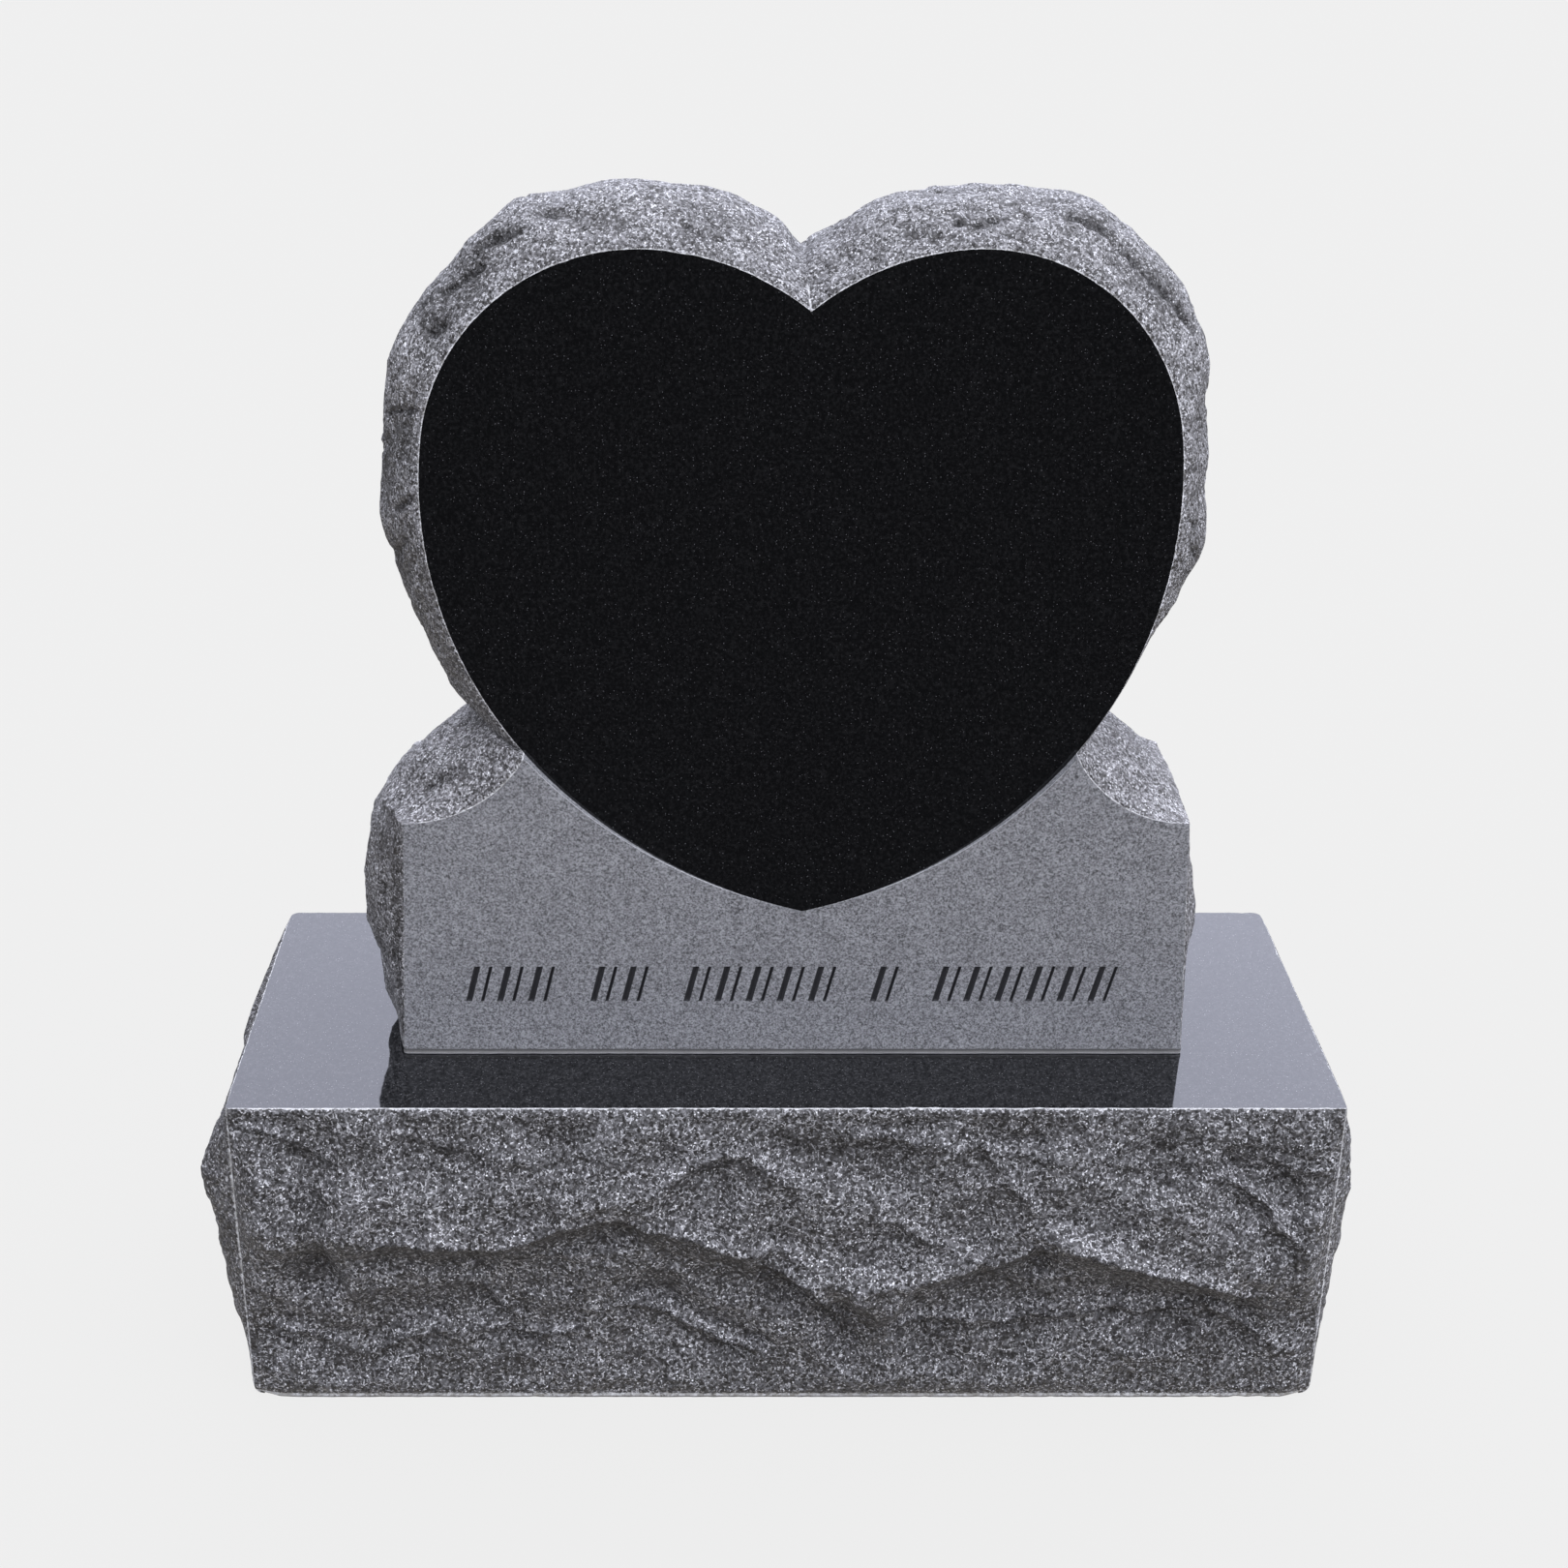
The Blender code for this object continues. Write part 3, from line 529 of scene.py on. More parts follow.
baseStone = {
    "width": 0.965, "depth": 0.356,                  # between the arrises
    "frontReach": 0.042, "backReach": 0.030, "leftReach": 0.036, "rightReach": 0.026,
    "frontEase": 0.002, "backEase": 0.009,           # radius of the upright corners
    # Height of the crest along a side: percent of the half side from its middle, percent of the height
    "frontCrest": (-100, 66, -84, 62, -62, 60, -48, 63, -33, 73, -11, 60, 8, 44, 19, 34, 25, 50, 50, 59, 67,
        52, 81, 48, 100, 56),
    "plainCrest": (-100, 72, -40, 76, 20, 66, 100, 74),
    "crestAbove": 0.8, "crestBelow": 0.65,
    "undercut": 0.012, "undercutRun": 0.042, "undercutFoot": 0.3,
    "groovePlace": 0.078, "grooveLow": 0.3, "grooveHigh": 0.97, "grooveFade": 0.15,
    "grooveWidth": 0.020, "grooveDepth": 0.010,
    "arrisRun": 0.022, "cornerRun": 0.033,
    # Crests of each side in millimetres: depth, width above and below, then run and height of each point
    "frontCrests": (
        (6, 16, 32, 105, 178, 150, 186, 190, 186, 235, 180, 265, 190, 290, 203, 325, 209, 355, 204, 400,
         188, 440, 176, 480, 168, 520, 150),
        (5, 12, 26, 360, 228, 385, 245, 405, 257, 428, 267, 448, 264, 470, 250, 500, 236),
        (4.2, 16, 22, 640, 292, 662, 262, 684, 236, 702, 214, 722, 194),
        (6, 12, 9, 5, 82, 50, 76, 78, 62, 100, 51, 125, 57, 150, 71, 190, 83),
        (5, 12, 8, 195, 82, 235, 74, 262, 69, 310, 73),
        (5, 14, 10, 195, 142, 225, 112, 245, 88, 270, 64),
        (8, 9, 11, 330, 114, 370, 96, 400, 81, 430, 66, 480, 42),
        (8.5, 18, 12, 450, 162, 485, 147, 510, 130, 530, 103, 556, 70),
        (5, 18, 18, 540, 134, 575, 143, 605, 150, 640, 157, 675, 161, 735, 186),
        (6.5, 13, 24, 690, 184, 722, 193, 745, 184, 775, 171, 805, 160, 840, 149, 870, 140, 915, 118),
        (5, 14, 8, 560, 80, 600, 91, 640, 90, 675, 88, 720, 94, 780, 100, 860, 96),
        (5, 9, 8, 845, 112, 880, 94, 920, 68),
        (7.5, 10, 13, 840, 248, 880, 236, 900, 219, 915, 198, 945, 172),
        (4, 9, 14, 890, 268, 925, 253, 965, 248),
        (4.5, 16, 8, 570, 208, 610, 186, 640, 168, 675, 158),
        (4.5, 12, 28, 470, 291, 530, 286, 580, 279, 640, 272, 720, 258),
        (4, 10, 15, 10, 292, 50, 280, 100, 258),
        (3, 10, 14, 140, 292, 200, 270, 260, 262, 320, 270),
        (3, 10, 12, 740, 272, 790, 254, 850, 262),
    ),
    "backCrests": (
        (4.5, 14, 26, 40, 200, 120, 214, 190, 196, 270, 168, 340, 176, 420, 160),
        (4.5, 14, 24, 380, 236, 450, 222, 520, 196, 600, 186, 680, 204, 760, 188, 840, 152),
        (4, 12, 18, 130, 112, 200, 92, 290, 98, 350, 74),
        (4, 12, 18, 520, 112, 590, 126, 660, 104, 730, 82, 800, 90),
        (3.5, 12, 16, 780, 262, 860, 240, 930, 250),
    ),
    "endCrests": (
        (4, 12, 22, 30, 214, 100, 196, 170, 206, 250, 172),
        (3.5, 12, 18, 140, 120, 210, 98, 300, 108),
    ),
    "creaseLine": ((0.095, 0.112), (0.140, 0.093), (0.180, 0.081), (0.220, 0.084), (0.275, 0.070)),
    "crestStrength": 1.4, "crestShade": 0.9, "creaseShade": 0.9, "topShade": 0.25,
    "crestEnds": 0.022, "creaseEnds": 0.03, "creaseDepth": 0.0075, "creaseSpread": 0.016,
    "frontFoot": (0.0045, 0.08, 0.03),               # how far proud, up to what height, run at its ends
    "footRound": 0.010, "roundRun": 0.010,
    "strayLedges": {"half": (0.010, 0.035), "slope": (-0.9, 0.25), "depth": (0.0010, 0.0030),
                    "spread": (5.0, 9.0)},
    "strayCount": 30, "chip": 0.0024, "footBand": 0.0055,
    "chipRun": 0.003, "fineRun": 0.012, "fineReach": 0.008,
    # The pale foot band is partly bruising and partly a painted highlight
    "paleWidth": 0.0011, "footBruiseAndHighlight": 0.9, "finer": (0.5, 1.0),
    "frontStep": 0.0026, "plainStep": 0.0042, "rowStep": 0.0029, "firstStep": 0.0008,
}


def pitchedOut(rise, crest, reach, dropBack):
    # Distance out of a pitched side: a power curve from the top arris to the crest, another from the
    # crest to the foot, less the drop back under the crest
    shape = baseStone
    above = reach * ((1.0 - rise) / (1.0 - crest)) ** shape["crestAbove"]
    below = reach * (rise / crest) ** shape["crestBelow"]
    drop = ease((crest - rise) * baseHigh.z / shape["undercutRun"]) * ease(rise / shape["undercutFoot"])
    return np.where(rise > crest, above, below - dropBack * drop)


def baseSide(side):
    # One side as a grid of (run, distance out, height): crest profile less bowls, groove and ledges.
    # At its ends the run bends round a quarter circle, of which each side has one half
    shape, length, height = baseStone, side["length"], baseHigh.z
    firstEase, lastEase = side["eases"]
    halfTurn = 1.0 - math.sqrt(0.5)
    start, end = halfTurn * firstEase, length - halfTurn * lastEase
    places = start + gradedPlaces(end - start, side["step"], shape["firstStep"])
    heights = gradedPlaces(height, shape["rowStep"], shape["firstStep"])
    run, rise = np.meshgrid(places, heights / height, indexing="ij")
    fromEnd = np.minimum(run - start, end - run)
    fromFlat = np.minimum(rise, 1.0 - rise) * height
    corner = np.sqrt(ease(fromEnd / shape["cornerRun"]))
    up = rise * height
    flat = between(up, 0.0, height, shape["arrisRun"])
    crest = along(side["crest"], 2.0 * run / length - 1.0, 100.0)
    raised = np.clip((up - shape["footBand"]) / (height - shape["footBand"]), 0.0, 1.0)
    out = pitchedOut(raised, crest, side["reach"], side["undercut"])
    bowls = struckBowls(run, up, length, height, side["seed"], coarseMarks) * flat
    out = out - side["bowls"][0] * bowls - side["bowls"][1] * flat
    if side["isFront"]:
        near = bell((run - length * shape["groovePlace"]) / shape["grooveWidth"])
        ends = between(rise, shape["grooveLow"], shape["grooveHigh"], shape["grooveFade"])
        out = out - shape["grooveDepth"] * near * ends
    stray = strayLedges(side["seed"] + 40, int(shape["strayCount"] * length), length, height,
                        shape["strayLedges"])
    fine = brokenStone(run, up, length, height, side["seed"] * 10, stray, *shape["finer"])
    # Painted shade: the deeper the cuts, the darker the stone is painted
    paintedShade = (bowls + fine) / fullShadeCut
    # Painted light and shade: light above each crest and shade below it; on the front, shade to the left of
    # the crease, light to its right, and shade over the top
    crestCut, crestShade = crestCuts(run, up, side["crests"])
    fine = fine + crestCut
    shade = crestShade * shape["crestShade"]
    if side["isFront"]:
        places, across = np.array(shape["creaseLine"]).T
        aside = (run - np.interp(up, places, across)) / shape["creaseSpread"]
        ends = between(up, places[0], places[-1], shape["creaseEnds"])
        left = np.maximum(-aside, 0.0)
        fine = fine + shape["creaseDepth"] * left * np.exp(1.0 - left) * ends
        beside = np.where(aside < 0.0, np.exp(-left), -0.5 * np.exp(-np.abs(aside))) * ends
        shade = shade + beside * shape["creaseShade"] + shape["topShade"] * ease((rise - 0.7) / 0.2)
    paintedShade = paintedShade * (1.0 - np.clip(np.abs(shade), 0.0, 1.0)) + shade
    fromArris = np.minimum(fromEnd, fromFlat)
    fine = fine * ease(fromArris / shape["fineRun"])
    out = np.maximum(out, 0.0) * corner - fine * ease(out / shape["fineReach"])
    chip = chippedArris(run + up, side["seed"] + 60, shape["chip"])
    out = out - chip * (1.0 - ease(fromArris / shape["chipRun"]))
    if side["isFront"]:
        proud, proudHeight, proudEnds = shape["frontFoot"]
        out = out + proud * ease(1.0 - up / proudHeight) * ease(fromEnd / proudEnds)
    low = np.clip(1.0 - up / shape["footRound"], 0.0, 1.0)
    rounded = shape["footRound"] * (1.0 - np.sqrt(1.0 - low ** 2))
    out = out - rounded * np.exp(-fromEnd / shape["roundRun"])
    turnFirst = np.clip((firstEase - run) / firstEase, 0.0, 1.0)
    turnLast = np.clip((run - length + lastEase) / lastEase, 0.0, 1.0)
    inward = firstEase * (1.0 - np.sqrt(1.0 - turnFirst ** 2))
    inward = inward + lastEase * (1.0 - np.sqrt(1.0 - turnLast ** 2))
    arris = bell(fromArris / shape["paleWidth"])
    # Along the foot band the pale arris mark is partly bruising and partly a painted highlight on the foot,
    # which faces down
    arris = np.maximum(arris, shape["footBruiseAndHighlight"] * (up < shape["footBand"]))
    return run, out - inward, up, arris, np.clip(paintedShade, -1.0, 1.0)


def buildBase():
    # Four sides carried round the block, sharing a column at each corner, closed by flat top and foot
    shape = baseStone
    halfWidth, halfDepth = shape["width"] / 2.0, shape["depth"] / 2.0
    frontEase, backEase = shape["frontEase"], shape["backEase"]
    plain = {"undercut": 0.0, "crest": shape["plainCrest"], "isFront": False,
             "step": shape["plainStep"], "bowls": plainBowls, "crests": shape["endCrests"]}
    sides = (
        {"length": shape["width"], "reach": shape["frontReach"], "undercut": shape["undercut"],
         "crest": shape["frontCrest"], "seed": 11, "eases": (frontEase, frontEase), "isFront": True,
         "step": shape["frontStep"], "bowls": frontBowls, "crests": shape["frontCrests"]},
        {**plain, "length": shape["depth"], "reach": shape["rightReach"], "seed": 12,
         "eases": (frontEase, backEase)},
        {**plain, "length": shape["width"], "reach": shape["backReach"], "seed": 13,
         "eases": (backEase, backEase), "crests": shape["backCrests"]},
        {**plain, "length": shape["depth"], "reach": shape["leftReach"], "seed": 14,
         "eases": (backEase, frontEase)},
    )
    starts = ((-halfWidth, -halfDepth), (halfWidth, -halfDepth), (halfWidth, halfDepth),
              (-halfWidth, halfDepth))
    ways = ((1.0, 0.0), (0.0, 1.0), (-1.0, 0.0), (0.0, -1.0))
    rings, values = [], []
    for side, start, way in zip(sides, starts, ways):
        run, out, height, arris, paintedShade = baseSide(side)
        x = start[0] + way[0] * run + way[1] * out
        y = start[1] + way[1] * run - way[0] * out
        rings.append(np.stack([x, y, height], axis=-1))
        values.append(np.stack([arris, paintedShade], axis=-1))
    for index, taken in enumerate((slice(1, 3), slice(0, 3, 2)) * 2):  # the shared corner columns
        rings[(index + 1) % 4][0, :, taken] = rings[index][-1, :, taken]
    grid = np.concatenate([ring[:-1] for ring in rings])
    value = np.concatenate([part[:-1] for part in values]).reshape(-1, 2)
    return ringPiece("base_stone", grid, baseLow, baseHigh, 1, 2, (basePitched, topPolish, sawn),
                     {"arris": value[:, 0], "paintedShade": value[:, 1]})


baseMade = buildBase()
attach(baseMade, "root")
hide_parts("base")


# ---- Tablet ----

tabletStone = {
    "shift": 0.008, "panelBottomWidth": 0.692, "panelTopWidth": 0.670,
    "shoulderHeight": 0.223, "neckRise": 0.061, "tipHeight": 0.139, "heartLean": 4.2, "heartStart": 12.7,
    "heartArcs": ((0.418, 33.5), (0.360, 51.3), (0.173, 86.7), (0.222, 75.0)),   # radius, sweep
    "heartSkew": 0.0065,
    # Reach of the rim: percent of the way from foot to corner or from neck to cleft, millimetres
    "leftSideReach": (0, 13, 14, 30, 27, 33, 34, 40, 42, 45.5, 70, 47.5, 88, 43.5, 100, 30),
    "rightSideReach": (0, 9, 30, 16, 50, 25, 62, 21, 85, 15, 100, 8),
    "leftHeartReach": (0, 51, 4, 45, 12, 39, 17, 39.5, 25, 43, 31, 46, 36, 43, 42, 40, 50, 46, 54, 44.5, 58,
        38.5, 62, 46.5, 67, 50, 73, 42, 80, 43, 88, 44.5, 92, 41, 100, 31),
    "rightHeartReach": (0, 31, 5, 16, 13, 16, 21, 33, 26, 44, 34, 35, 41, 35, 50, 45, 55, 48, 60, 47, 67,
        50, 73, 41, 80, 38, 88, 40, 95, 32, 100, 31),
    "backShare": 0.3, "bulgeFullness": 0.75,
    "leftShoulderBulge": (0.008, 0.016), "rightShoulderBulge": (0.011, 0.018),
    "shoulderSink": 0.008, "shoulderSinkShare": 0.25, "neckLift": 15.0, "neckShare": 0.12,
    "cleftShare": 0.07, "cleftMitre": 1.25, "creaseWidth": 0.004, "arrisRun": 0.022,
    "strayLedges": {"half": (0.006, 0.022), "slope": (-0.7, 0.7), "depth": (0.0010, 0.0030),
                    "spread": (4.0, 8.0)},
    # Clefts of the rim in millimetres: run and depth of both ends, cut, width; the run starts at the
    # right foot
    "crevices": (
        (963, 26, 926, 31, 5.5, 3.5), (998, 21, 968, 10, 3, 6), (905, 52, 895, 31, 3, 4),
        (903, 16, 890, 13, 3.5, 3), (916, 13, 898, 8, 3, 3), (857, 44, 827, 44, 5, 7),
        (805, 41, 775, 36, 4, 3.5), (767, 36, 731, 47, 4, 5), (731, 44, 707, 49, 5, 5.5),
        (549, 12, 533, 41, 3.5, 4.5), (523, 18, 501, 60, 3.5, 4.5), (599, 13, 587, 18, 4, 4),
        (1342, 36, 1369, 44, 5, 3.5), (1369, 44, 1388, 47, 4.5, 3.5), (1386, 34, 1399, 36, 5, 6),
        (1397, 36, 1429, 44, 4.5, 5), (1432, 67, 1451, 54, 4.5, 4), (1448, 21, 1464, 29, 4.5, 4.5),
        (1198, 26, 1165, 18, 4, 2.5), (1290, 39, 1317, 52, 3, 7), (1529, 6, 1550, 57, 4, 4),
        (1612, 8, 1627, 29, 4, 4.5), (1653, 18, 1672, 50, 3, 4), (1170, 88, 1180, 80, 4, 3),
        (968, 104, 965, 98, 4, 2.2), (1043, 11, 1033, 8, 3, 3), (1849, 75, 1863, 67, 5, 3.5),
        (1876, 26, 1908, 34, 4, 8), (1940, 47, 1953, 31, 5, 4), (2020, 24, 2044, 21, 4.5, 4),
        (2073, 13, 2091, 11, 4, 3.5), (1951, 62, 1962, 54, 4, 3.5), (2105, 11, 2119, 9, 3.5, 3),
        (1924, 57, 1892, 57, 3.5, 3.5),
    ),
    # Facets with painted shade or painted light: run from and to, depth from and to, painted shade (below
    # zero, painted light)
    "shadedFacets": (
        (1.392, 1.462, 0.010, 0.060, 0.85), (1.540, 1.700, -0.010, 0.190, 0.25),
        (1.468, 1.536, -0.010, 0.190, -0.35), (0.815, 0.860, 0.040, 0.066, 0.70),
        (0.925, 1.006, 0.020, 0.034, 0.70), (1.165, 1.200, 0.006, 0.022, 0.60),
        (1.345, 1.380, 0.036, 0.052, 0.70), (0.740, 0.790, 0.020, 0.060, 0.60),
    ),
    "strayCount": 90, "chip": 0.0009, "finer": (0.32, 0.8),
    "paleWidth": 0.0006, "rightPale": 0.8, "leftPale": 0.5, "creasePale": 0.8,
    "creasePaleWidth": 0.0016, "creaseDepth": 0.034, "creaseEnd": 0.012,
    # Painted shade under the shoulders' corners, painted light above them and a painted shadow line behind
    # the left arris: share, reach
    "cornerShade": (0.55, 0.05, 0.5, 0.03, 0.9, 0.005),
    "chipRun": 0.003, "fineRun": 0.010, "fineReach": 0.006, "clearRun": 0.012, "facetEdge": 0.0015,
    "fullCleft": 0.0036, "stepBruise": 0.0009,
    "sideColumns": 84, "scoopColumns": 46, "heartColumns": 320, "lowerColumns": 90, "arcPoints": 600,
    "rowStep": 0.0026, "firstStep": 0.0006,
}

# Row of slanted strokes: words of so many places, a wide and a narrow stroke to a place
strokeRow = {
    "words": (3, 2, 5, 1, 6), "margin": 0.058, "bottom": 0.049, "height": 0.035,
    "wide": 0.0055, "narrow": 0.0030, "wideStart": 0.12, "narrowStart": 0.60,
    "depth": 0.0020, "slant": 14.0, "endRun": 0.0012, "border": 0.004,
}


def heartEdge():
    # Half outline of the heart in its own plane: circular arcs joined tangent to tangent, from the
    # point to where the last one meets the middle line
    shape = tabletStone
    heading = math.radians(shape["heartStart"])
    place = np.zeros(2)
    pieces = [place[None]]
    for radius, sweep in shape["heartArcs"]:
        centre = place + radius * np.array([-math.sin(heading), math.cos(heading)])
        turn = heading + np.linspace(0.0, math.radians(sweep), shape["arcPoints"])[1:]
        pieces.append(centre + radius * np.stack([np.sin(turn), -np.cos(turn)], axis=-1))
        place, heading = pieces[-1][-1], turn[-1]
    edge = np.concatenate(pieces)
    last = np.argmax((edge[:, 0] < 0.0) & (np.arange(len(edge)) > shape["arcPoints"]))
    before, after = edge[last - 1], edge[last]
    cleft = before + (after - before) * before[0] / (before[0] - after[0])
    return np.concatenate([edge[:last], cleft[None]])


def atLengths(line, shares):
    # Points at the given shares of a line's own length
    steps = np.linalg.norm(np.diff(line, axis=0), axis=1)
    length = np.concatenate([[0.0], np.cumsum(steps)])
    wanted = np.asarray(shares) * length[-1]
    return np.stack([np.interp(wanted, length, line[:, axis]) for axis in range(2)], axis=-1)


def heartFrontY(height):
    # The leaning face: the panel's plane at the point, further back by the tangent of the lean
    slope = math.tan(math.radians(tabletStone["heartLean"]))
    return tabletLow.y + (height - tabletStone["tipHeight"]) * slope


def heartOutline():
    # The half outline seen from the front, parted at the neck, where the shoulder meets it
    shape = tabletStone
    edge = heartEdge()
    flat = np.stack([edge[:, 0],
                     shape["tipHeight"] + edge[:, 1] * math.cos(math.radians(shape["heartLean"]))], axis=-1)
    widest = np.argmax(flat[:, 0])
    neckHeight = shape["shoulderHeight"] + shape["neckRise"]
    neck = np.array([np.interp(neckHeight, flat[:widest, 1], flat[:widest, 0]), neckHeight])
    below = flat[:widest][flat[:widest, 1] < neckHeight]
    return np.concatenate([below, neck[None]]), np.concatenate([neck[None], flat[len(below):]])


def skewed(across):
    # Places across the polished face, moved to the right by the skew times 1 less the squared share
    # of the half width, so that the widest places stay
    half = heartEdge()[:, 0].max()
    return across + tabletStone["heartSkew"] * np.clip(1.0 - (across / half) ** 2, 0.0, 1.0)


def scoopLine(corner, neck):
    # The arc that leaves the panel's top corner level and climbs to the neck
    rise, reach = neck[1] - corner[1], corner[0] - neck[0]
    radius = (reach ** 2 + rise ** 2) / (2.0 * rise)
    turn = np.linspace(0.0, math.atan2(reach, radius - rise), tabletStone["scoopColumns"] + 1)
    return np.stack([corner[0] - radius * np.sin(turn), corner[1] + radius * (1.0 - np.cos(turn))], axis=-1)


def heartTurn(front, share):
    # Direction in which the rim leaves the heart's edge: a little upwards at the neck, square to the
    # edge along the lobe, straight up in the cleft
    shape = tabletStone
    tangent = np.gradient(front, axis=0)
    square = np.stack([tangent[:, 1], -tangent[:, 0]], axis=-1)
    toward = square / np.linalg.norm(square, axis=1)[:, None]
    lift = math.radians(shape["neckLift"])
    outOfNeck = np.array([math.cos(lift), math.sin(lift)])
    toward = toward + (outOfNeck - toward) * (1.0 - ease(share / shape["neckShare"]))
    straightUp = np.array([0.0, shape["cleftMitre"]])
    return toward + (straightUp - toward) * ease((share - 1.0 + shape["cleftShare"]) / shape["cleftShare"])


def halfRim(hand, sign):
    # Columns of the right or left half of the rim: front outline, outline at mid thickness, depth of the
    # front, and how far a column is from the nearest corner of the outline, as a share of the clear run
    shape = tabletStone
    sideReach, heartReach = shape[hand + "SideReach"], shape[hand + "HeartReach"]
    foot = np.array([shape["panelBottomWidth"] / 2.0, 0.0])
    corner = np.array([shape["panelTopWidth"] / 2.0, shape["shoulderHeight"]])
    lower, upper = heartOutline()
    up = np.linspace(0.0, 1.0, shape["sideColumns"] + 1)
    sideFront = foot + (corner - foot) * up[:, None]
    sunk = -shape["shoulderSink"] * ease(1.0 - (1.0 - up) / shape["shoulderSinkShare"])
    sideMiddle = sideFront + np.stack([along(sideReach, up, 1000.0), sunk], axis=-1)
    scoopFront = scoopLine(corner, lower[-1])
    way = np.linspace(0.0, 1.0, shape["heartColumns"] + 1)
    heartFront = atLengths(upper, way)
    heartMiddle = heartFront + heartTurn(heartFront, way[:, None]) * along(heartReach, way, 1000.0)[:, None]
    notch = heartMiddle[0] - np.array([0.0, shape["creaseWidth"]])
    bend = (sideMiddle[-1] + notch) / 2.0 + np.array(shape[hand + "ShoulderBulge"])
    part = np.linspace(0.0, 1.0, shape["scoopColumns"] + 1)[:, None]
    scoopMiddle = (1 - part) ** 2 * sideMiddle[-1] + 2 * part * (1 - part) * bend + part ** 2 * notch
    front = np.concatenate([sideFront, scoopFront[1:], heartFront])
    middle = np.concatenate([sideMiddle, scoopMiddle[1:], heartMiddle])
    depth = np.full(len(front), tabletLow.y)
    depth[-len(heartFront):] = heartFrontY(heartFront[:, 1])
    corners = np.stack([foot, lower[-1], upper[-1]])
    away = np.linalg.norm(front[:, None] - corners[None], axis=2).min(axis=1)
    return front * (sign, 1.0), middle * (sign, 1.0), depth, ease(away / shape["clearRun"])


def rimBulge(share):
    # Share of the full reach at a share of the thickness: a power of a half sine, its back half
    # raised so that it ends at the back's own share
    swell = np.sin(np.pi * share) ** tabletStone["bulgeFullness"]
    back = tabletStone["backShare"]
    return np.where(share < 0.5, swell, back + (1.0 - back) * swell)


def tabletRim():
    # The pitched rim as a grid from the right foot over the heart to the left foot, front to back
    shape = tabletStone
    thickness = tabletHigh.y - tabletLow.y
    front, middle, depth, clear = (np.concatenate([right, left[-2::-1]])
                                   for right, left in zip(halfRim("right", 1.0), halfRim("left", -1.0)))
    front[:, 0] = skewed(front[:, 0])
    pale = np.ones(len(front))
    pale[:shape["sideColumns"]] = shape["rightPale"]
    pale[-shape["sideColumns"]:] = shape["leftPale"]
    places = gradedPlaces(thickness, shape["rowStep"], shape["firstStep"])
    share = places / thickness
    run = np.concatenate([[0.0], np.cumsum(np.linalg.norm(np.diff(middle, axis=0), axis=1))])
    p, q = np.meshgrid(run, places, indexing="ij")
    bowls = struckBowls(p, q, run[-1], thickness, 21, coarseMarks)
    foot = ease(np.minimum(p, run[-1] - p) / shape["arrisRun"])
    flatter = between(q, 0.0, thickness, shape["arrisRun"]) * foot
    cut = (rimBowls[0] * bowls + rimBowls[1]) * flatter
    stray = strayLedges(61, shape["strayCount"], run[-1], thickness, shape["strayLedges"])
    fine = brokenStone(p, q, run[-1], thickness, 210, stray, *shape["finer"])
    clefts = creviceCuts(p, q, shape["crevices"])
    fromArris = np.minimum(q, thickness - q)
    fine = (fine + clefts) * ease(fromArris / shape["fineRun"]) * foot
    reach = middle - front
    full = np.linalg.norm(reach, axis=1)
    out = full[:, None] * rimBulge(share)[None] - cut
    out = np.maximum(out, 0.0) - fine * ease(out / shape["fineReach"])
    chip = chippedArris(p + q, 81, shape["chip"]) * clear[:, None]
    out = out - chip * (1.0 - ease(q / shape["chipRun"]))
    flat = front[:, None] + (reach / full[:, None])[:, None] * out[..., None]
    flat[[0, -1], :, 1] = 0.0
    depth = np.where(depth > tabletLow.y, heartFrontY(flat[:, 0, 1]), depth)
    y = depth[:, None] + (tabletHigh.y - depth[:, None]) * share[None]
    points = np.stack([flat[..., 0] + shape["shift"], y, flat[..., 1] + tabletLow.z], axis=-1)
    crease = bell((p - run[len(run) // 2]) / shape["creasePaleWidth"])
    crease = crease * ease((shape["creaseDepth"] - q) / shape["creaseEnd"])
    arris = np.maximum(bell(fromArris / shape["paleWidth"]) * pale[:, None], shape["creasePale"] * crease)
    corners = run[shape["sideColumns"]], run[-1] - run[-1 - shape["sideColumns"]]
    # Painted shade under the shoulders' corners, painted light above them, a painted shadow line behind the
    # left arris, and painted shade or light on the listed facets
    below = np.maximum(corners[0] - p, corners[1] - run[-1] + p)
    dark, darkFade, light, lightFade, line, lineDepth = shape["cornerShade"]
    shade = np.where(below > 0.0, dark * np.exp(-below / darkFade), -light * np.exp(below / lightFade))
    shade = shade + (p > run[-1] - corners[1]) * line * bell((q - lineDepth) / lineDepth)
    bend = waver(p, q, 77, (0.012, 0.008))
    for startP, endP, startQ, endQ, facetShade in shape["shadedFacets"]:
        within = np.minimum(np.minimum(p - startP, endP - p), np.minimum(q - startQ, endQ - q))
        shade = shade + facetShade * ease((within + bend) / shape["facetEdge"])
    # Painted shade: deeper cuts and clefts are painted darker, on top of the painted shade and light
    paintedShade = np.clip((bowls * flatter + fine) / fullShadeCut + shade, -1.0, 1.0)
    paintedShade = paintedShade + np.clip(clefts / shape["fullCleft"], 0.0, 1.0)
    return points, arris, paintedShade


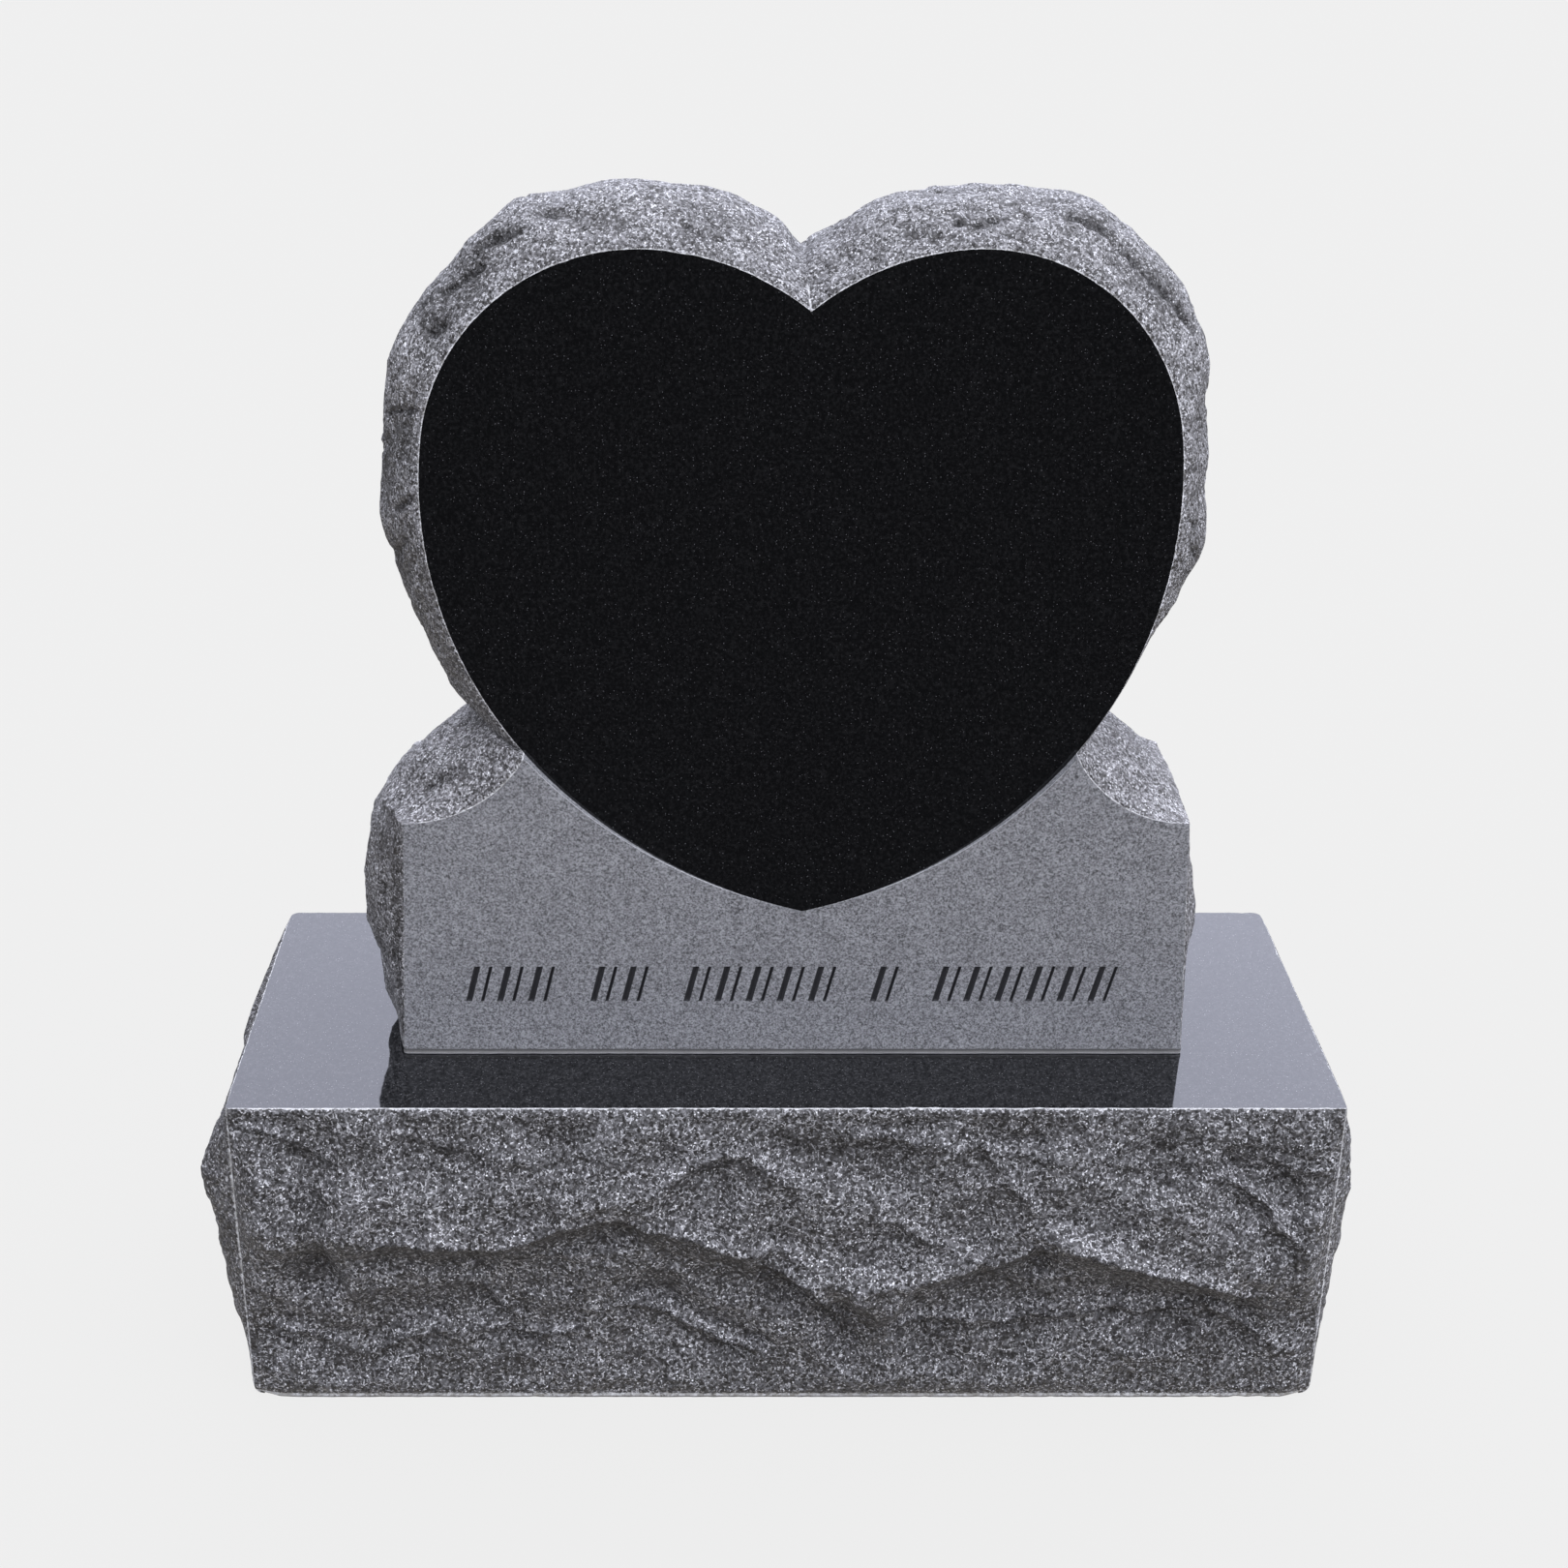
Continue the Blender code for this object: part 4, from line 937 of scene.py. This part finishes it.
def strokePatch():
    # The stroke row as a sheared grid: columns at the sides and middle of every stroke, rows at its
    # ends; the middles sink by the stroke's depth between the end rows
    shape, row = tabletStone, strokeRow
    width = shape["panelBottomWidth"] - 2.0 * row["margin"]
    letters = np.concatenate([np.arange(count) + sum(row["words"][:index]) + index
                              for index, count in enumerate(row["words"])])
    pitch = width / (sum(row["words"]) + len(row["words"]) - 1)
    starts = np.stack([letters + row["wideStart"], letters + row["narrowStart"]], axis=-1) * pitch
    widths = np.array([row["wide"], row["narrow"]])
    marks = starts[..., None] + widths[None, :, None] * np.array([0.0, 0.5, 1.0])
    lean = row["height"] * math.tan(math.radians(row["slant"]))
    across = shape["shift"] - width / 2.0 - lean / 2.0 + marks.ravel()
    sunk = np.tile([0.0, 1.0, 0.0], marks.shape[0] * marks.shape[1])
    across = np.concatenate([[across[0] - row["border"]], across, [across[-1] + row["border"]]])
    sunk = np.concatenate([[0.0], sunk, [0.0]])
    rows = np.array([0.0, row["endRun"], row["height"] / 2.0, row["height"] - row["endRun"], row["height"]])
    full = np.array([0.0, 1.0, 1.0, 1.0, 0.0])
    x = across[:, None] + rows[None] * math.tan(math.radians(row["slant"]))
    y = tabletLow.y + row["depth"] * sunk[:, None] * full[None]
    z = np.broadcast_to(tabletLow.z + row["bottom"] + rows[None], x.shape)
    return np.stack([x, y, z], axis=-1), sunk


def buildTablet():
    # One closed stone: rim, heart face, panel in two halves round the stroke row, the step between
    # heart and panel, the back and the foot
    shape = tabletStone
    rim, rimArris, rimPaintedShade = tabletRim()
    columns, rows = rim.shape[:2]
    column, row = np.meshgrid(np.arange(columns - 1), np.arange(rows - 1), indexing="ij")
    here = (column * rows + row).ravel()
    rimQuads = np.stack([here, here + 1, here + rows + 1, here + rows], axis=-1)
    points, arris, paintedShade = [rim.reshape(-1, 3)], [rimArris.ravel()], [rimPaintedShade.ravel()]
    count = columns * rows

    def added(new, newArris):
        nonlocal count
        points.append(new)
        arris.append(newArris)
        paintedShade.append(np.zeros(len(new)))
        first, count = count, count + len(new)
        return np.arange(first, count)

    front = np.arange(columns) * rows
    panelColumns = shape["sideColumns"] + shape["scoopColumns"] + 1
    rightPanel, leftPanel = front[:panelColumns], front[-panelColumns:]
    heartLine = front[panelColumns:-panelColumns]
    tipX = shape["shift"] + skewed(0.0)
    tip = added(np.array([[tipX, tabletLow.y, tabletLow.z + shape["tipHeight"]]]), np.array([1.0]))

    # The step along the heart's lower edge: two lines on the panel side, one on the leaning face
    lower = atLengths(heartOutline()[0], np.linspace(0.0, 1.0, shape["lowerColumns"] + 1))[1:-1]
    stepDepth = heartFrontY(lower[:, 1]) - tabletLow.y
    bruisedRun = np.minimum(shape["stepBruise"], 0.5 * stepDepth)
    stepQuads, stepFinish, stepCaps, panelLine, faceLine = [], [], [], {}, {}
    for side, panelEnd, faceEnd in ((1.0, rightPanel[-1], heartLine[0]),
                                    (-1.0, leftPanel[0], heartLine[-1])):
        x = shape["shift"] + skewed(side * lower[:, 0])
        z = tabletLow.z + lower[:, 1]
        lines = [added(np.stack([x, tabletLow.y + back, z], axis=-1), np.full(len(x), pale))
                 for back, pale in ((np.zeros(len(x)), 1.0), (bruisedRun, 0.2), (stepDepth, 0.0))]
        panelLine[side], faceLine[side] = lines[0], lines[2]
        for first, second, finish in ((0, 1, 5), (1, 2, 1)):
            strip = np.stack([lines[first][:-1], lines[first][1:], lines[second][1:], lines[second][:-1]],
                             axis=-1)
            stepQuads.append(strip if side > 0 else strip[:, ::-1])
            stepFinish.append(np.full(len(strip), finish))
        for end in (np.array([tip[0], lines[0][0], lines[1][0], lines[2][0]]),
                    np.array([lines[0][-1], panelEnd, faceEnd, lines[2][-1], lines[1][-1]])):
            stepCaps.append((end if side > 0 else end[::-1], 1))
    stepQuads = np.concatenate(stepQuads)

    patch, sunk = strokePatch()
    patchColumns, patchRows = patch.shape[:2]
    patchIndex = added(patch.reshape(-1, 3), np.zeros(patchColumns * patchRows))
    patchIndex = patchIndex.reshape(patchColumns, patchRows)
    corners = [patchIndex[:-1, :-1], patchIndex[1:, :-1], patchIndex[1:, 1:], patchIndex[:-1, 1:]]
    patchQuads = np.stack([corner.ravel() for corner in corners], axis=-1)
    cutPatch = np.repeat((sunk[:-1] + sunk[1:]) > 0.0, patchRows - 1)
    footMiddle = added(np.array([[tipX, tabletLow.y, tabletLow.z]]), np.array([1.0]))
    bottomSplit = int(np.argmin(np.abs(patch[:, 0, 0] - tipX)))
    topSplit = int(np.argmin(np.abs(patch[:, -1, 0] - tipX)))
    rightHalf = np.concatenate([
        rightPanel, panelLine[1.0][::-1], tip, patchIndex[topSplit:, -1], patchIndex[-1, -2:0:-1],
        patchIndex[bottomSplit:, 0][::-1], footMiddle])
    leftHalf = np.concatenate([
        tip, panelLine[-1.0], leftPanel, footMiddle, patchIndex[:bottomSplit + 1, 0][::-1],
        patchIndex[0, 1:-1], patchIndex[:topSplit + 1, -1]])
    heartFace = np.concatenate([heartLine, faceLine[-1.0][::-1], tip, faceLine[1.0]])
    back = (front + rows - 1)[::-1]
    rightFoot, leftFoot = np.arange(rows), (columns - 1) * rows + np.arange(rows)
    foot = np.concatenate([footMiddle, leftFoot, rightFoot[::-1]])
    caps = [(heartFace, 2), (rightHalf, 1), (leftHalf, 1), (back, 1), (foot, 3)] + stepCaps
    quads = np.concatenate([rimQuads, stepQuads, patchQuads])
    finish = np.concatenate([np.zeros(len(rimQuads)), *stepFinish, np.where(cutPatch, 4, 1)])
    allPoints = heldIn(np.concatenate(points), tabletLow, tabletHigh)
    values = {"arris": np.concatenate(arris), "paintedShade": np.concatenate(paintedShade)}
    made = pieceFrom("tablet_stone", allPoints, quads, finish, caps,
                     (tabletPitched, steeled, heartPolish, sawn, paint, bruised), values)
    smooth = np.zeros(len(made.data.polygons), bool)
    smooth[:len(rimQuads)] = True
    made.data.polygons.foreach_set("use_smooth", smooth)
    return made


tabletMade = buildTablet()
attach(tabletMade, "root")
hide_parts("tablet")


# ---- Setting bed ----

settingBed = {
    "corner": 0.004, "step": 0.003, "rows": 9, "edge": 0.0009, "fullness": 0.35, "smear": 0.0007,
}


def buildBed():
    # A rounded profile carried round the joint: the side bulges by a power of a half sine, less a
    # wavering smear, and both faces are flat
    shape = settingBed
    middle = (bedLow + bedHigh) / 2.0
    half = (bedHigh - bedLow) / 2.0
    radius = shape["corner"]
    straightX, straightY = half.x - radius, half.y - radius
    quarter = np.linspace(0.0, math.pi / 2.0, 7)
    along1 = np.linspace(-straightX, straightX, int(2 * straightX / shape["step"]))
    along2 = np.linspace(-straightY, straightY, int(2 * straightY / shape["step"]))
    centres, outs = [], []
    for index, (startX, startY, line) in enumerate(((None, -1, along1), (1, None, along2),
                                                    (None, 1, along1[::-1]), (-1, None, along2[::-1]))):
        angle = math.pi * (index / 2.0 - 0.5)
        x = line if startX is None else np.full(len(line), startX * straightX)
        y = line if startY is None else np.full(len(line), startY * straightY)
        centres.append(np.stack([x, y], axis=-1)[:-1])
        outs.append(np.tile([math.cos(angle), math.sin(angle)], (len(line) - 1, 1)))
        turn = angle + quarter[:-1]
        centres.append(np.tile([x[-1], y[-1]], (len(turn), 1)))
        outs.append(np.stack([np.cos(turn), np.sin(turn)], axis=-1))
    centre, way = np.concatenate(centres), np.concatenate(outs)
    run = np.concatenate([[0.0], np.cumsum(np.linalg.norm(np.diff(centre + way * radius, axis=0), axis=1))])
    share = np.linspace(0.0, 1.0, shape["rows"])
    p, q = np.meshgrid(run, share * 2.0 * half.z, indexing="ij")
    rounded = np.sin(np.pi * np.clip(share, 0.0, 1.0)) ** shape["fullness"]
    smear = shape["smear"] * (0.6 * rolling(p, q, 0.012, 91) + 0.4 * rolling(p, q, 0.004, 92))
    out = radius - shape["edge"] * (1.0 - rounded)[None] - smear
    flat = centre[:, None] + way[:, None] * out[..., None]
    z = np.broadcast_to(bedLow.z + share * 2.0 * half.z, out.shape)
    grid = np.stack([flat[..., 0] + middle.x, flat[..., 1] + middle.y, z], axis=-1)
    return ringPiece("setting_compound", grid, bedLow, bedHigh, 0, 0, (compound,), {})


bedMade = buildBed()
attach(bedMade, "root")
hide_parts("setting_bed")


# ---- Stage, light and camera ----

stageLight = {
    "floor": (0.030, 0.0293, 0.0265), "floorGlow": 0.806, "floorHalf": 60.0,
    "wallReach": 50.0, "wallHeight": 60.0, "wallFaces": 96,
    "cool": (0.93, 0.95, 1.06), "warm": (1.05, 0.98, 0.90),
    "dome": 0.34, "zenith": 1.75, "backdrop": 2.85, "front": 1.4, "rightSide": 2.0,
    "backdropTint": (0.89, 0.92, 1.11), "backdropSlant": 0.35,
    "nadir": 0.45, "dark": 0.03,
}

photoCamera = {
    "place": (-0.066, -1.878, 1.408), "tiltDown": 25.0, "lens": 53.636, "sensor": 36.0, "shiftX": 0.04753,
}


def buildStage():
    # A wide plain floor and, far behind it, a round wall in the same tone. Neither is mirrored in the
    # stone or throws light on it, and the wall casts no shadow
    half, faces = stageLight["floorHalf"], stageLight["wallFaces"]
    shader = Shader(bpy.data.materials.new("floor_pale"))
    glow = {"Emission Color": tone((1.0, 1.0, 1.0)), "Emission Strength": stageLight["floorGlow"]}
    pale = shader.surface(tone(stageLight["floor"]), 1.0, level=0.0, others=glow)
    square = [(-half, -half, 0.0), (half, -half, 0.0), (half, half, 0.0), (-half, half, 0.0)]
    here = np.arange(faces)
    beside = (here + 1) % faces
    turn = here * 2.0 * math.pi / faces
    foot = np.stack([np.cos(turn), np.sin(turn), turn * 0.0], axis=-1) * stageLight["wallReach"]
    wall = np.concatenate([foot, foot + np.array([0.0, 0.0, stageLight["wallHeight"]])])
    quads = np.stack([here, here + faces, beside + faces, beside], axis=-1)
    for name, points, sides in (("floor", square, [(0, 1, 2, 3)]),
                                ("backdrop", wall.tolist(), quads.tolist())):
        mesh = bpy.data.meshes.new(name)
        mesh.from_pydata(points, [], sides)
        mesh.materials.append(pale)
        made = linked(name, mesh)
        made.visible_glossy = made.visible_diffuse = False
        made.visible_shadow = name == "floor"


def buildSky():
    # Soft light by direction: a dome that brightens overhead, a bright backdrop low behind the stone,
    # a weaker front, a little warm light from the ground, and dark along the ground in front
    world = bpy.data.worlds.new("studio")
    bpy.context.scene.world = world
    shader = Shader(world)
    way = shader.node("ShaderNodeTexCoord", output=0)
    x, y, z = (shader.axis(way, index) for index in range(3))
    above = z.step(-0.02, 0.06)
    behind = (y - abs(x) * 0.5).step(0.05, 0.45) * z.step(0.22, 0.40) * (1.0 - z.step(0.62, 0.85))
    light = above * (stageLight["dome"] + z.step(0.35, 0.95) * stageLight["zenith"]
                     + behind * stageLight["backdrop"] * (x * stageLight["backdropSlant"] + 1.0)
                     + (0.0 - y).step(0.1, 0.6) * z.step(0.25, 0.65) * stageLight["front"]
                     + x.step(0.45, 0.9) * stageLight["rightSide"])
    ground = (1.0 - above) * ((0.0 - z).step(0.38, 0.65) * stageLight["nadir"] + stageLight["dark"])
    colour = shader.mix(above, tone(stageLight["warm"]), tone(stageLight["cool"]))
    colour = shader.mix(behind, colour, tone(stageLight["backdropTint"]))
    shader.feed(shader.tree.nodes["Background"], {"Color": colour, "Strength": light + ground})


def buildCamera():
    data = bpy.data.cameras.new("camera")
    data.sensor_width = photoCamera["sensor"]
    data.lens = photoCamera["lens"]
    data.shift_x = photoCamera["shiftX"]
    data.clip_end = 200.0
    camera = linked("camera", data)
    camera.location = photoCamera["place"]
    camera.rotation_euler = (math.radians(90.0 - photoCamera["tiltDown"]), 0.0, 0.0)
    bpy.context.scene.camera = camera


buildStage()
buildSky()
buildCamera()
bpy.context.scene.view_settings.view_transform = "Standard"
print("stage, light and camera set")
